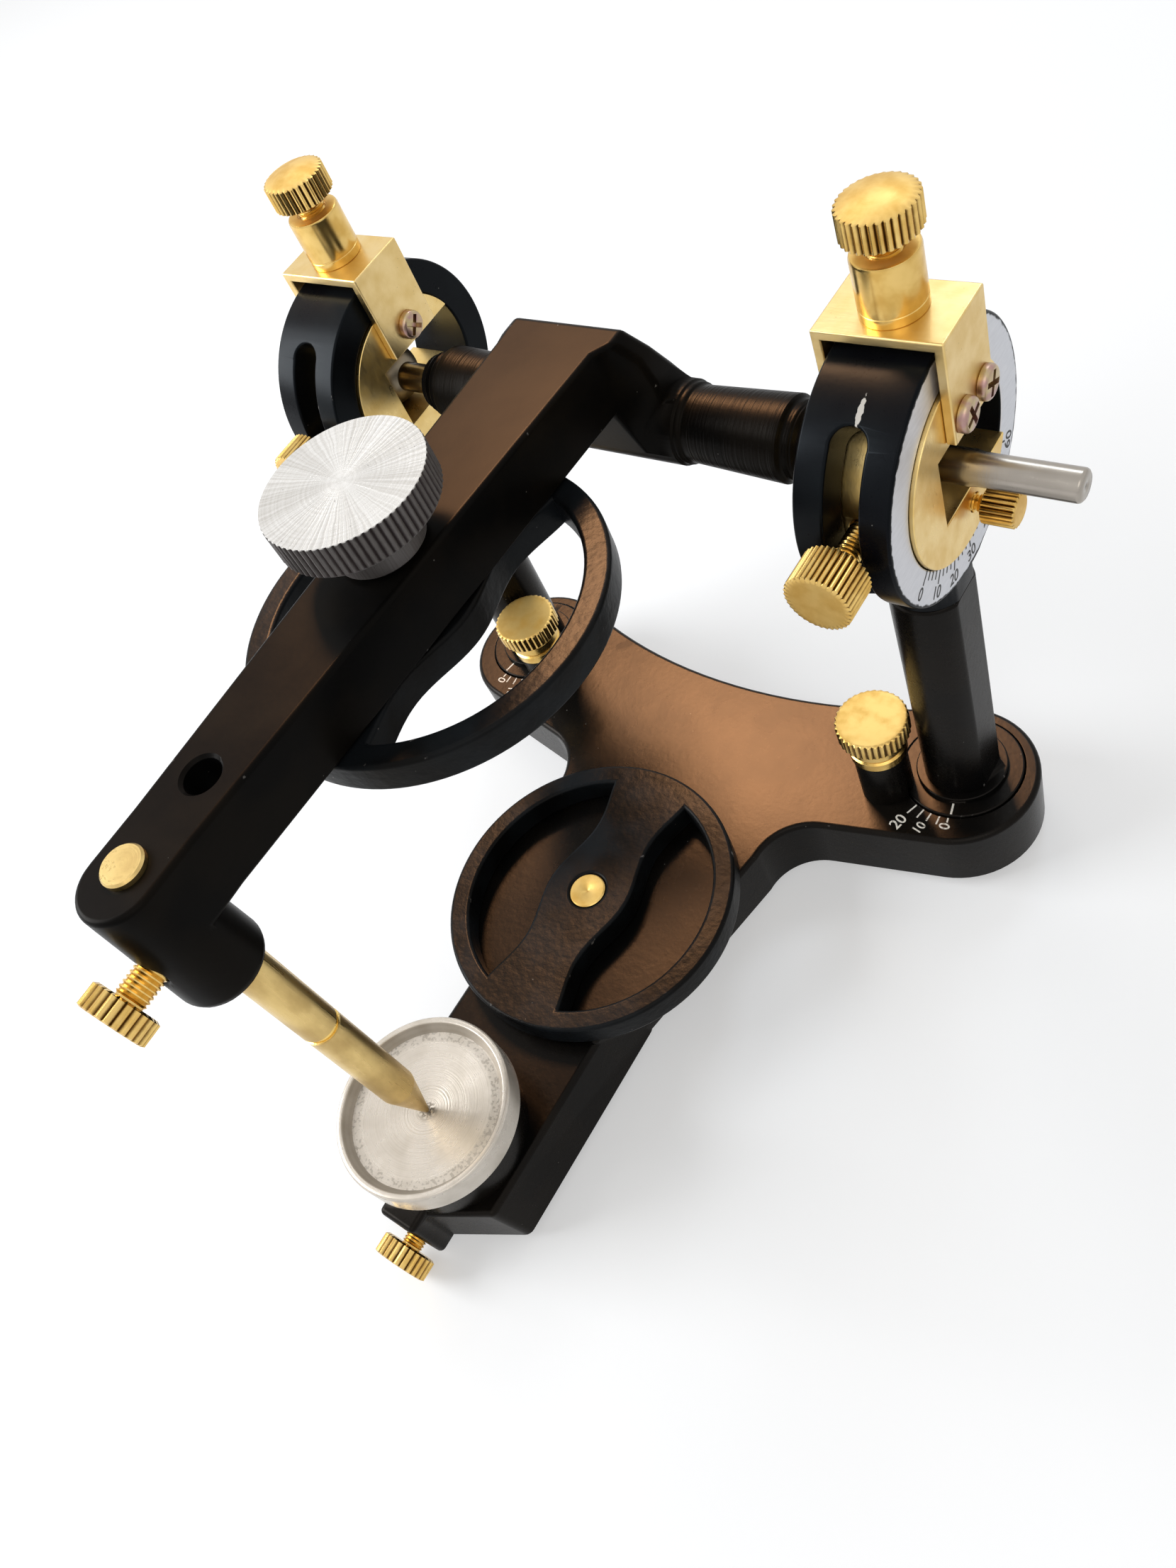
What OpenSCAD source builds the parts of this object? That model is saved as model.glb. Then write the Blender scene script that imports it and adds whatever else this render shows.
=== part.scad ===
// Dental articulator with two condylar guides, an incisal pin and an incisal table.
// Millimetres. +X is to the right seen from the front, +Y to the rear, +Z up.
// The origin lies on the bench, under the axis of the lower mounting plate.

/* [Condylar axis] */
// Distance between the centres of the two condylar balls
condyle_span = 110; // [106:1:116]
// Distance of the condylar axis behind the lower plate's centre
condyle_y = 56.5; // [55:0.5:60]
// Height of the condylar axis above the bench
condyle_z = 99.4; // [96:0.2:106]

/* [Base casting] */
// Height of the rubber feet
foot_h = 3; // [2.5:0.1:4]
// Radius of the two rear feet
rear_foot_r = 13.5; // [11:0.5:15]
// Radius of the front foot
front_foot_r = 9; // [6:0.5:11]
// Distance of the front foot in front of the plate's centre
front_foot_y = 34; // [26:1:36]
// Height of the base casting
base_h = 14; // [13:0.5:18]
// Radius of the lobe round each post
lobe_r = 16.3; // [15.5:0.1:18]
// Distance of the lobe's centre inboard of the post's axis
lobe_in = 1; // [0:0.2:2]
// Distance of the lobe's centre in front of the post's axis
lobe_fwd = 1.6; // [0:0.2:3]
// Distance of the rear edge's middle behind the lower plate's centre
rear_edge_y = 60.4; // [57:0.2:63]
// Radius of the hollow between arm and lobe
waist_r = 11.5; // [9:0.5:13]
// Distance of that hollow's centre from the middle plane
waist_x = 37.5; // [35:0.5:40]
// Distance of that hollow's centre behind the plate's centre
waist_y = 22.7; // [20:0.5:25]
// Width of the arm at its top
arm_w = 33.2; // [32:0.2:38]
// Extra width of the arm at its underside
arm_draft = 4.6; // [2:0.2:7]
// Step from the deck down to the arm's top
arm_drop = 1; // [0.5:0.1:2]
// Distance of the arm's front corners ahead of the incisal axis
arm_corner = 8; // [6:0.5:10]
// Distance of the arm's blunt tip ahead of the incisal axis
arm_tip = 16.8; // [16:0.2:18]
// Width of that blunt tip
arm_tip_w = 4.5; // [3:0.5:8]
// Width of the nose that holds the table's clamp screw
nose_w = 9; // [8:0.5:12]
// Distance of the nose's face ahead of the incisal axis
nose_tip = 19.7; // [18.5:0.1:22]
// Thickness of the round seat under the lower plate
seat_t = 3; // [2:0.5:5]
// Distance of that seat's edge inside the plate's edge
seat_in = 2; // [1.5:0.1:3]
// Radius of the pedestal under the incisal table
pedestal_r = 15.5; // [13:0.5:16.5]
// Height of the pedestal above the deck
pedestal_h = 8; // [6:0.5:11]

/* [Mounting plates] */
// Outside radius of a mounting plate
plate_r = 30.7; // [30:0.1:33]
// Width of the plate's rim
plate_rim = 4.4; // [3.5:0.1:6]
// Thickness of a mounting plate
plate_t = 6; // [5:0.2:8]
// Mean half width of the plate's crossbar
cross_w = 8.2; // [7:0.2:10]
// Swell of the crossbar's edges about that mean
cross_wave = 1.3; // [0.5:0.1:2]
// Distance between two swells along the crossbar
cross_pitch = 28; // [24:1:32]
// Distance of the upper plate's axis behind the lower one
upper_plate_y = 4.4; // [0:0.2:8]
// Shank radius of the lower mounting screw
lower_screw_r = 3.8; // [3:0.1:4.5]
// Head radius of the lower mounting screw
lower_head_r = 9.5; // [7:0.5:11]
// Head height of the lower mounting screw
lower_head_h = 5.8; // [4:0.2:7]
// Radial gap round that head in its pocket
lower_head_gap = 1.5; // [1:0.1:2.5]

/* [Posts] */
// Radius of a post's column
post_r = 7.2; // [7:0.1:7.6]
// Distance from a post's axis to its outer flat
post_flat = 6.3; // [5.6:0.1:6.8]
// Radius of the disc at the post's foot
disc_r = 11.7; // [11:0.1:12.2]
// Depth of that disc in the lobe
disc_sink = 4.9; // [4:0.1:6]
// Height of the disc above the deck
disc_rise = 0.4; // [0.2:0.1:0.8]
// Radius of the collar on the disc
collar_r = 8.8; // [8:0.1:9.2]
// Height of the collar on the disc
collar_h = 1.2; // [0.6:0.1:2]
// Radius of the spigot in the lobe
spigot_r = 5; // [4:0.1:6]
// Radius of the retainer's flange
retainer_r = 8.4; // [7:0.1:10]
// Height of the retainer's flange
retainer_h = 2.9; // [2:0.1:3.2]
// Radius of the retainer's shank
retainer_shank_r = 2.5; // [2:0.1:3]
// Length of the retainer's shank
retainer_shank = 8.6; // [7:0.2:12]

/* [Lateral locks] */
// Distance of a lateral lock inboard of its post
lock_in = 12; // [11.9:0.1:14]
// Distance of a lateral lock in front of its post
lock_fwd = 8.7; // [8.7:0.1:10]
// Radius of the clamp bush
lock_bush_r = 5.2; // [4.8:0.1:5.4]
// Height of the clamp bush above the deck
lock_bush_h = 12.4; // [9:0.2:16]
// Shank radius of the lateral lock screw
lock_r = 2; // [1.6:0.1:2.5]
// Radius of the plain collar under its head
lock_collar_r = 5.6; // [4.5:0.1:6]
// Height of that collar
lock_collar_h = 5.7; // [4:0.1:8]
// Radius of its knurled head
lock_head_r = 7; // [6:0.1:7.2]
// Height of its knurled head
lock_head_h = 4.3; // [3:0.1:6]
// Depth of its shank below the deck
lock_depth = 9.3; // [7:0.1:11]

/* [Ring housings] */
// Outside radius of a ring housing
ring_r = 21.2; // [20.5:0.1:21.8]
// Gap between each face of the ring and the yoke's leg
ring_side = 0.65; // [0.5:0.05:1.2]
// Length of the neck between ring and post
neck_h = 5.7; // [4:0.1:7]
// Radius of that neck
neck_r = 6.9; // [6.7:0.1:7.2]
// Radius of the spigot under the neck
ring_spigot_r = 4; // [3:0.1:5]
// Length of that spigot
ring_spigot_h = 8.5; // [6:0.1:12]
// Width of the slot round the ring's front
slot_w = 5.5; // [5:0.1:7]
// Angle of the slot's ends above and below the front
slot_angle = 54; // [46:1:58]

/* [Condylar guides] */
// Radius of a guide drum
drum_r = 15.2; // [14.6:0.1:15.8]
// Width of a guide drum
drum_w = 16.4; // [16:0.1:17]
// Radius of a condylar ball
ball_r = 6; // [5.5:0.1:6.4]
// Thickness of the yoke's strip
yoke_t = 1.6; // [1.2:0.1:2]
// Distance of the yoke's front edge ahead of the axis
yoke_front = 3.4; // [2.5:0.1:4]
// Distance of the yoke's rear edge behind the axis
yoke_rear = 9; // [8.2:0.1:10]
// Height of the legs' lower ends above the axis
yoke_foot = 7.1; // [6.8:0.1:8]
// Gap between the ring and the yoke's bridge
yoke_gap = 1.5; // [1:0.1:2.5]
// Distance of the top screw behind the axis
bush_y = 2.8; // [2:0.1:3.6]
// Radius of the bush on the yoke
bush_r = 4.8; // [4.2:0.1:5.4]
// Height of the bush on the yoke
bush_h = 9.3; // [7:0.1:12]
// Radius of the bush's spigot in the bridge
bush_spigot_r = 3.6; // [3.2:0.1:4]
// Head radius of a yoke screw
yoke_screw_head_r = 2.6; // [2.2:0.1:3]
// Head height of a yoke screw
yoke_screw_head_h = 1.5; // [1:0.1:1.8]
// Shank radius of a yoke screw
yoke_screw_r = 1.2; // [0.9:0.1:1.4]
// Shank length of a yoke screw
yoke_screw_l = 6; // [4.5:0.1:6.5]
// Height of the yoke screws above the axis
yoke_screw_z = 10.4; // [10.2:0.1:10.8]
// Distance between the two outer yoke screws
yoke_screw_gap = 6.5; // [6.2:0.1:7]

/* [Upper member] */
// Height of the bar's top above the condylar axis
bar_rise = 20.4; // [18:0.1:23]
// Thickness of the bar
bar_t = 12.4; // [11:0.2:13]
// Width of the bar at its rear
bar_rear_w = 20; // [18:0.2:24]
// Width of the bar behind its front boss
bar_front_w = 13.3; // [12.5:0.1:14]
// Length of the bar's straight part behind that boss
bar_straight = 2; // [1:0.5:4]
// Distance of the bar's rear end ahead of the condylar axis
bar_end = 2.8; // [1:0.1:4]
// Radius of the front boss
boss_r = 7.4; // [7.2:0.1:8.5]
// Depth of the front boss below the bar's top
boss_h = 25.3; // [24:0.1:28]
// Distance of the boss's axis ahead of the incisal axis
boss_fwd = 1.8; // [1:0.1:2.2]
// Radius of the cross tube round the shaft
tube_r = 7; // [6:0.1:8]
// Half length of the cross tube's plain part
tube_half = 36; // [32:0.5:37]
// Radius of the tube's tapered end
tube_end_r = 5; // [4:0.1:5.5]
// Length of the tube's tapered end
tube_end = 5; // [3:0.1:6]
// Half width of the neck where it meets the tube
neck_half = 14.4; // [13:0.2:18]
// Half width of the neck's top
neck_top = 11.8; // [11:0.1:13]
// Depth of the neck's rounded shoulders below the bar's top
neck_round = 10.5; // [8:0.5:12]
// Length of the neck's root along the bar
neck_root = 6.3; // [5:0.1:9]
// Radius of the condylar shaft in the tube and the balls
shaft_r = 2.7; // [2.6:0.1:3]
// Radius of the shaft's free ends
shaft_end_r = 2.5; // [2:0.1:2.6]
// Length of the shaft outside each ball's centre
shaft_out = 26.2; // [24:0.2:30]
// Length of each free end
shaft_free = 14.8; // [12:0.1:17]
// Radius of the threaded hole in the bar
bar_hole_r = 3; // [2:0.5:3.5]
// Distance of that hole in front of the plate's centre
bar_hole_y = 38.1; // [36:0.1:40]
// Knurled radius of the mounting knob
knob_r = 13; // [11:0.2:15]
// Height of the knob's knurl
knob_h = 5.7; // [4:0.1:8]
// Radius of the plain collar under the knurl
knob_collar_r = 7.2; // [6:0.2:9]
// Height of that collar
knob_collar_h = 6.9; // [5:0.1:9]
// Shank radius of the mounting knob
knob_shank_r = 3; // [2.5:0.1:3.5]

/* [Incisal pin and table] */
// Distance of the incisal axis in front of the plate's centre
incisal_y = 53.7; // [52:0.1:56]
// Radius of the incisal pin
pin_r = 3.4; // [3:0.1:4]
// Height of the pin's top above the bar
pin_proud = 1.1; // [0.5:0.1:4]
// Length of the pin's cone
pin_cone = 12.6; // [9:0.2:15]
// Radius of the pin's blunt tip
pin_tip_r = 0.5; // [0.3:0.1:1]
// Height of the mark's groove above the pin's tip
pin_mark = 40.5; // [34:0.5:46]
// Radius of the incisal table
table_r = 17.6; // [16.5:0.1:19]
// Thickness of the incisal table at its rim
table_t = 6.1; // [5:0.1:8]
// Width of the table's flat rim
table_rim = 1.3; // [1:0.1:2]
// Depth of the ledge inside the rim
table_ledge = 2; // [1.4:0.1:2.4]
// Run of the sloping wall between the rim and that ledge
table_wall = 1.2; // [0.8:0.1:1.6]
// Width of that ledge
table_ledge_w = 1.4; // [1:0.1:2]
// Depth of the table's hollow cone below the ledge
table_dish = 1.1; // [0.6:0.1:1.6]
// Radius of the table's stem
stem_r = 5; // [4:0.1:6]

/* [Thumb screws] */
// Head radius of the inclination lock
incl_head_r = 5.6; // [5:0.1:6.2]
// Head height of the inclination lock
incl_head_h = 4.6; // [4:0.1:6]
// Height of the dome on that head
incl_dome = 1; // [0.6:0.1:1.6]
// Shank radius of the inclination lock
incl_r = 2.5; // [2:0.1:2.8]
// Threaded neck that shows under that head
incl_neck = 2.2; // [1:0.1:4]
// Head radius of the centric lock
centric_head_r = 5.4; // [5:0.1:6]
// Head height of the centric lock
centric_head_h = 6.6; // [5:0.1:8]
// Shank radius of the centric lock
centric_r = 2; // [1.6:0.1:2.2]
// Gap between the ring's front and the centric lock's head
centric_gap = 1.8; // [1:0.1:3]
// Head radius of the guide's thumb screw
thumb_head_r = 2.9; // [2.4:0.1:3.2]
// Head length of the guide's thumb screw
thumb_head_h = 5.5; // [4:0.1:7]
// Shank radius of the guide's thumb screw
thumb_r = 1.5; // [1.2:0.1:1.8]
// Depth of that shank in the drum
thumb_depth = 5; // [4:0.1:7]
// Gap between the drum's face and that head
thumb_gap = 1.5; // [1:0.1:2.5]
// Depth of the guide's thumb screw below the axis
thumb_z = 9.9; // [9.6:0.1:10.6]
// Distance of the guide's thumb screw behind the axis
thumb_y = 2.7; // [1.5:0.1:4]
// Head radius of the pin's clamp screw
pin_clamp_head_r = 5.4; // [5:0.1:6]
// Head height of the pin's clamp screw
pin_clamp_head_h = 3.9; // [3:0.1:5]
// Shank radius of the pin's clamp screw
pin_clamp_r = 2.5; // [2:0.1:2.8]
// Gap between the boss and that head
pin_clamp_gap = 4.2; // [3:0.1:6]
// Depth of the pin's clamp screw below the bar's top
pin_clamp_drop = 14.8; // [14:0.1:16]
// Head radius of the table's clamp screw
table_clamp_head_r = 5.6; // [5:0.1:6]
// Head height of the table's clamp screw
table_clamp_head_h = 4.1; // [3:0.1:5]
// Shank radius of the table's clamp screw
table_clamp_r = 2.2; // [1.8:0.1:2.6]
// Gap between the nose and that head
table_clamp_gap = 2.1; // [1:0.1:4]
// Height of the table's clamp screw above the bench
table_clamp_z = 6.8; // [6.5:0.1:8]

/* [Clearances] */
// Radial clearance of pins and shafts in their bores
run_fit = 0.05; // [0.02:0.01:0.09]
// Radial clearance of the press-fitted spigots and shanks
press_fit = 0.02; // [0.01:0.01:0.05]
// Clearance of faces that slide on each other
seat_fit = 0.1; // [0.05:0.05:0.2]
// Radial clearance round discs and heads in their pockets
pocket_fit = 0.2; // [0.1:0.05:0.4]
// Gap from a screw's tip to the piece that it clamps
tip_gap = 0.3; // [0.2:0.05:0.5]
// Chamfer on turned edges
edge = 0.5; // [0.2:0.1:0.8]

/* [Hidden] */
$fn = 96;

// A cut runs this far past the face that it opens
past = 1;

// Heights and places of the base
deck_z = foot_h + base_h;
arm_z = deck_z - arm_drop;
pedestal_z = deck_z + pedestal_h;
post_x = condyle_span / 2;
lobe_x = post_x - lobe_in;
lobe_y = condyle_y - lobe_fwd;
lock_x = post_x - lock_in;
lock_y = condyle_y - lock_fwd;
lock_head_z = deck_z + lock_bush_h + seat_fit + lock_collar_h;

// The rear edge is an arc that touches both lobes
rear_k = rear_edge_y - lobe_y;
rear_r = (lobe_x^2 + rear_k^2 - lobe_r^2) / (2 * (lobe_r - rear_k));
rear_touch = rear_r / (rear_r + lobe_r);

// The front edge runs from the hollow to the lobe along their common tangent
waist_d = norm([lobe_x - waist_x, lobe_y - waist_y]);
waist_turn = atan2(lobe_y - waist_y, lobe_x - waist_x) - asin((waist_r + lobe_r) / waist_d);
waist_n = [-sin(waist_turn), cos(waist_turn)];
waist_steps = 16;

// Heights of the post and of what holds it
disc_z = deck_z - disc_sink + seat_fit;
disc_top = deck_z + disc_rise;
post_top = condyle_z - ring_r - neck_h;
retainer_top = foot_h + retainer_h + disc_rise + seat_fit;

// Radii and heights of the guide about the condylar axis
ring_bore = drum_r + run_fit;
ring_w = drum_w - 2 * ring_side;
slot_mid = slot_angle - asin(slot_w / 2 / ring_r);
track_h = 2 * ball_r + 2 * run_fit;
track_front = ball_r + seat_fit;
yoke_half = drum_w / 2 + yoke_t;
bridge_z = ring_r + yoke_gap;
bush_z = bridge_z + yoke_t;
incl_head_z = bush_z + bush_h + incl_neck;
incl_tip_z = ring_r + tip_gap;
centric_head_y = ring_r + centric_gap;
centric_tip = track_front + tip_gap;
yoke_screw_y = (yoke_rear - yoke_front) / 2;

// Heights of the upper member
bar_z = condyle_z + bar_rise;
bar_low = bar_z - bar_t;
bar_rear_y = condyle_y - bar_end;
boss_y = incisal_y + boss_fwd;
taper_y = boss_y - boss_r - bar_straight;
knob_z = bar_z + tip_gap;
pin_clamp_z = bar_z - pin_clamp_drop;
upper_plate_z = bar_low - plate_t;

// Heights of the incisal table and pin
table_z = pedestal_z + seat_fit;
table_top = table_z + table_t;
dish_z = table_top - table_ledge - table_dish;
dish_r = table_r - table_rim - table_wall - table_ledge_w;
pin_z = dish_z + tip_gap;
pin_top = bar_z + pin_proud;

// Depth of the pin's groove, and radius of the dimple in the lower screw's end
mark_depth = 0.4;
dimple_r = 1.2;

// A turned solid about +Z from its half section
module turned(section) {
    rotate_extrude() polygon(section);
}

// Half section of a thumb screw: tip at the origin, head at the far end
function screw_section(r, l, head_r, head_h, dome = 0) = [
    [0, 0], [r - edge, 0], [r, edge], [r, l], [head_r - edge, l], [head_r, l + edge],
    [head_r, l + head_h - edge], [head_r - edge, l + head_h], [0, l + head_h + dome]
];

// Puts a guide's or a post's pieces at the condylar centre of one side: 1 right, -1 left
module at_condyle(side) {
    mirror([side < 0 ? 1 : 0, 0, 0])
        translate([post_x, condyle_y, condyle_z])
            children();
}

// Puts a post's pieces on the post's axis at bench height
module at_post(side) {
    mirror([side < 0 ? 1 : 0, 0, 0])
        translate([post_x, condyle_y, 0])
            children();
}

// Edge of one side of the base, from the arm to the rear touching point
function web_edge(side) = concat(
    [[side * arm_w / 2, -plate_r + plate_rim]],
    [for (i = [0:waist_steps])
        let (a = 180 - i / waist_steps * (90 - waist_turn))
        [side * (waist_x + waist_r * cos(a)), waist_y + waist_r * sin(a)]],
    [[side * (lobe_x - lobe_r * waist_n[0]), lobe_y - lobe_r * waist_n[1]],
     [side * lobe_x, lobe_y],
     [side * lobe_x * rear_touch,
      rear_edge_y + rear_r + (lobe_y - rear_edge_y - rear_r) * rear_touch]]
);

// Outline of the base's deck seen from above
module base_plan() {
    right = web_edge(1);
    left = web_edge(-1);
    difference() {
        union() {
            polygon(concat(right, [for (i = [len(left) - 1:-1:0]) left[i]]));
            for (side = [-1, 1])
                translate([side * lobe_x, lobe_y])
                    circle(lobe_r);
        }
        translate([0, rear_edge_y + rear_r])
            circle(rear_r, $fn = 240);
    }
}

// Arm of the base: drafted sides and a blunt pointed front
module base_arm() {
    half = arm_w / 2;
    low_half = half + arm_draft / 2;
    arm_rise = arm_z - foot_h;
    intersection() {
        translate([0, 0, foot_h])
            rotate([90, 0, 0])
                linear_extrude(incisal_y + arm_tip)
                    polygon([[-low_half, 0], [low_half, 0], [half, arm_rise], [-half, arm_rise]]);
        translate([0, 0, foot_h])
            linear_extrude(arm_rise)
                polygon([
                    [-low_half, -plate_r / 2], [-low_half, -incisal_y - arm_corner],
                    [-arm_tip_w / 2, -incisal_y - arm_tip], [arm_tip_w / 2, -incisal_y - arm_tip],
                    [low_half, -incisal_y - arm_corner], [low_half, -plate_r / 2]
                ]);
    }
}

// Cuts in the base for one post and its lateral lock
module lobe_cuts(side) {
    at_post(side) {
        translate([0, 0, disc_z - seat_fit])
            cylinder(r = disc_r + pocket_fit, h = base_h);
        translate([0, 0, foot_h])
            cylinder(r = spigot_r + run_fit, h = base_h);
        translate([0, 0, foot_h - past])
            cylinder(r = retainer_r + tip_gap, h = retainer_top + seat_fit - foot_h + past);
        translate([-lock_in, -lock_fwd, foot_h - past])
            cylinder(r = lock_r + run_fit, h = base_h + 2 * past);
    }
}

// Black casting that carries everything
module lower_frame() {
    color([0.09, 0.07, 0.06])
    difference() {
        union() {
            translate([0, 0, foot_h])
                linear_extrude(base_h)
                    base_plan();
            base_arm();
            translate([0, 0, deck_z - seat_t])
                cylinder(r = plate_r - seat_in, h = seat_t);
            translate([0, -incisal_y, foot_h])
                cylinder(r = pedestal_r, h = pedestal_z - foot_h);
            translate([-nose_w / 2, -incisal_y - nose_tip, foot_h])
                cube([nose_w, nose_tip, base_h]);
        }
        lobe_cuts(-1);
        lobe_cuts(1);
        translate([0, 0, foot_h - past])
            cylinder(r = lower_screw_r + run_fit, h = base_h + 2 * past);
        translate([0, 0, foot_h - past])
            cylinder(r = lower_head_r + lower_head_gap, h = lower_head_h + 2 * tip_gap + seat_fit + past);
        translate([0, -incisal_y, foot_h - past])
            cylinder(r = stem_r + run_fit, h = pedestal_z - foot_h + 2 * past);
        translate([0, -incisal_y, table_clamp_z])
            rotate([90, 0, 0])
                cylinder(r = table_clamp_r + run_fit, h = nose_tip + past);
    }
}

// Three rubber discs under the base
module base_feet() {
    color([0.55, 0.55, 0.55]) {
        for (side = [-1, 1])
            at_post(side)
                cylinder(r = rear_foot_r, h = foot_h);
        translate([0, -front_foot_y, 0])
            cylinder(r = front_foot_r, h = foot_h);
    }
}

// Flat ring with a swelling crossbar and a threaded hole, underside at z = 0
module mounting_plate(hole_r) {
    inner = plate_r - plate_rim;
    steps = 40;
    swell = [for (i = [0:steps])
        let (y = (2 * i / steps - 1) * (inner + past))
        [cross_w + cross_wave * cos(360 * y / cross_pitch), y]];
    linear_extrude(plate_t)
        difference() {
            union() {
                difference() {
                    circle(plate_r);
                    circle(inner);
                }
                intersection() {
                    circle(inner + plate_rim / 2);
                    polygon(concat(swell, [for (i = [steps:-1:0]) [-swell[i][0], swell[i][1]]]));
                }
            }
            circle(hole_r);
        }
}

module lower_mounting_plate() {
    color([0.13, 0.11, 0.11])
    translate([0, 0, deck_z])
        mounting_plate(lower_screw_r + run_fit);
}

// Sleeves that the lateral locks press on the posts' discs
module lateral_lock_bushes() {
    color([0.07, 0.07, 0.07])
    for (side = [-1, 1])
        at_post(side)
            difference() {
                translate([-lock_in, -lock_fwd, deck_z])
                    cylinder(r = lock_bush_r, h = lock_bush_h);
                translate([-lock_in, -lock_fwd, deck_z - past])
                    cylinder(r = lock_r + run_fit, h = lock_bush_h + 2 * past);
                translate([0, 0, deck_z - past])
                    cylinder(r = disc_r + pocket_fit, h = disc_rise + seat_fit + past);
            }
}

// Brass screw that holds the lower plate from below, its end dimpled
module lower_mounting_screw() {
    head_z = foot_h + 2 * tip_gap;
    shank_z = head_z + lower_head_h;
    top_z = deck_z + plate_t;
    color([0.80, 0.66, 0.35])
    turned([
        [0, head_z], [lower_head_r - edge, head_z], [lower_head_r, head_z + edge],
        [lower_head_r, shank_z - edge], [lower_head_r - edge, shank_z], [lower_screw_r, shank_z],
        [lower_screw_r, top_z - edge], [lower_screw_r - edge, top_z],
        [dimple_r, top_z], [0, top_z - dimple_r]
    ]);
}

module lateral_lock_screw(side) {
    tip_z = deck_z - lock_depth;
    collar_z = deck_z + lock_bush_h + seat_fit;
    top_z = lock_head_z + lock_head_h;
    color([0.82, 0.70, 0.36])
    at_post(side)
        translate([-lock_in, -lock_fwd, 0])
            turned([
                [0, tip_z], [lock_r, tip_z], [lock_r, collar_z], [lock_collar_r, collar_z],
                [lock_collar_r, lock_head_z], [lock_head_r - edge, lock_head_z],
                [lock_head_r, lock_head_z + edge], [lock_head_r, top_z - edge],
                [lock_head_r - edge, top_z], [0, top_z]
            ]);
}

module lateral_lock_screw_left() { lateral_lock_screw(-1); }
module lateral_lock_screw_right() { lateral_lock_screw(1); }

// Turned table with a raised rim, a sloping wall, a ledge and a hollow cone
module incisal_table() {
    stem_z = foot_h + 2 * tip_gap;
    rim_in = table_r - table_rim;
    color([0.80, 0.80, 0.80])
    translate([0, -incisal_y, 0])
        turned([
            [0, stem_z], [stem_r - edge, stem_z], [stem_r, stem_z + edge], [stem_r, table_z],
            [table_r - edge, table_z], [table_r, table_z + edge], [table_r, table_top - edge],
            [table_r - edge, table_top], [rim_in, table_top],
            [rim_in - table_wall, table_top - table_ledge],
            [dish_r, table_top - table_ledge], [0, dish_z]
        ]);
}

module table_clamp_screw() {
    tip_y = incisal_y + stem_r + tip_gap;
    head_y = incisal_y + nose_tip + table_clamp_gap;
    color([0.72, 0.52, 0.16])
    translate([0, -tip_y, table_clamp_z])
        rotate([90, 0, 0])
            turned(screw_section(table_clamp_r, head_y - tip_y, table_clamp_head_r, table_clamp_head_h));
}

// Round column with an outer flat, a foot disc in the lobe and a socket for the ring
module condylar_post(side) {
    spigot_z = retainer_top;
    color([0.10, 0.10, 0.11])
    at_post(side)
        difference() {
            union() {
                turned([
                    [0, spigot_z], [spigot_r, spigot_z], [spigot_r, disc_z], [disc_r, disc_z],
                    [disc_r, disc_top], [collar_r, disc_top], [collar_r, disc_top + collar_h],
                    [0, disc_top + collar_h]
                ]);
                intersection() {
                    turned([
                        [0, disc_z], [post_r, disc_z], [post_r, post_top - edge],
                        [post_r - edge, post_top], [0, post_top]
                    ]);
                    translate([post_flat - 2 * post_r, -post_r, disc_z])
                        cube([2 * post_r, 2 * post_r, post_top]);
                }
            }
            translate([0, 0, post_top - ring_spigot_h - tip_gap])
                cylinder(r = ring_spigot_r, h = post_top);
            translate([0, 0, spigot_z - past])
                cylinder(r = retainer_shank_r + press_fit, h = retainer_shank + tip_gap + past);
        }
}

module condylar_post_left() { condylar_post(-1); }
module condylar_post_right() { condylar_post(1); }

// Ring with a slot in its front between two drilled ends, on a neck with a spigot
module ring_housing(side) {
    neck_low = post_top - condyle_z;
    slot_r = ring_r + past;
    slot_reach = slot_r * tan(slot_mid);
    color([0.12, 0.12, 0.13])
    at_condyle(side)
        difference() {
            union() {
                rotate([0, 90, 0])
                    translate([0, 0, -ring_w / 2])
                        cylinder(r = ring_r, h = ring_w);
                intersection() {
                    translate([0, 0, neck_low])
                        cylinder(r = neck_r, h = neck_h + ring_r - ring_bore);
                    translate([post_flat - 2 * post_r, -post_r, neck_low])
                        cube([2 * post_r, 2 * post_r, ring_r]);
                }
                translate([0, 0, neck_low - ring_spigot_h])
                    cylinder(r = ring_spigot_r - press_fit, h = ring_spigot_h + past);
            }
            rotate([0, 90, 0])
                translate([0, 0, -ring_w])
                    cylinder(r = ring_bore, h = 2 * ring_w);
            intersection() {
                rotate([0, 90, 0])
                    translate([0, 0, -slot_w / 2])
                        cylinder(r = slot_r, h = slot_w);
                rotate([0, 90, 0])
                    translate([0, 0, -slot_w])
                        linear_extrude(2 * slot_w)
                            polygon([[0, 0], [slot_reach, -slot_r], [-slot_reach, -slot_r]]);
            }
            for (end = [-1, 1])
                rotate([90 - end * slot_mid, 0, 0])
                    cylinder(d = slot_w + seat_fit, h = slot_r);
        }
}

module ring_housing_left() { ring_housing(-1); }
module ring_housing_right() { ring_housing(1); }

// Flanged screw that holds the post down in its lobe
module post_retainer(side) {
    low_z = retainer_top - retainer_h;
    color([0.62, 0.62, 0.64])
    at_post(side)
        turned([
            [0, low_z], [retainer_r - edge, low_z], [retainer_r, low_z + edge],
            [retainer_r, retainer_top], [retainer_shank_r, retainer_top],
            [retainer_shank_r, retainer_top + retainer_shank], [0, retainer_top + retainer_shank]
        ]);
}

module post_retainer_left() { post_retainer(-1); }
module post_retainer_right() { post_retainer(1); }

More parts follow.
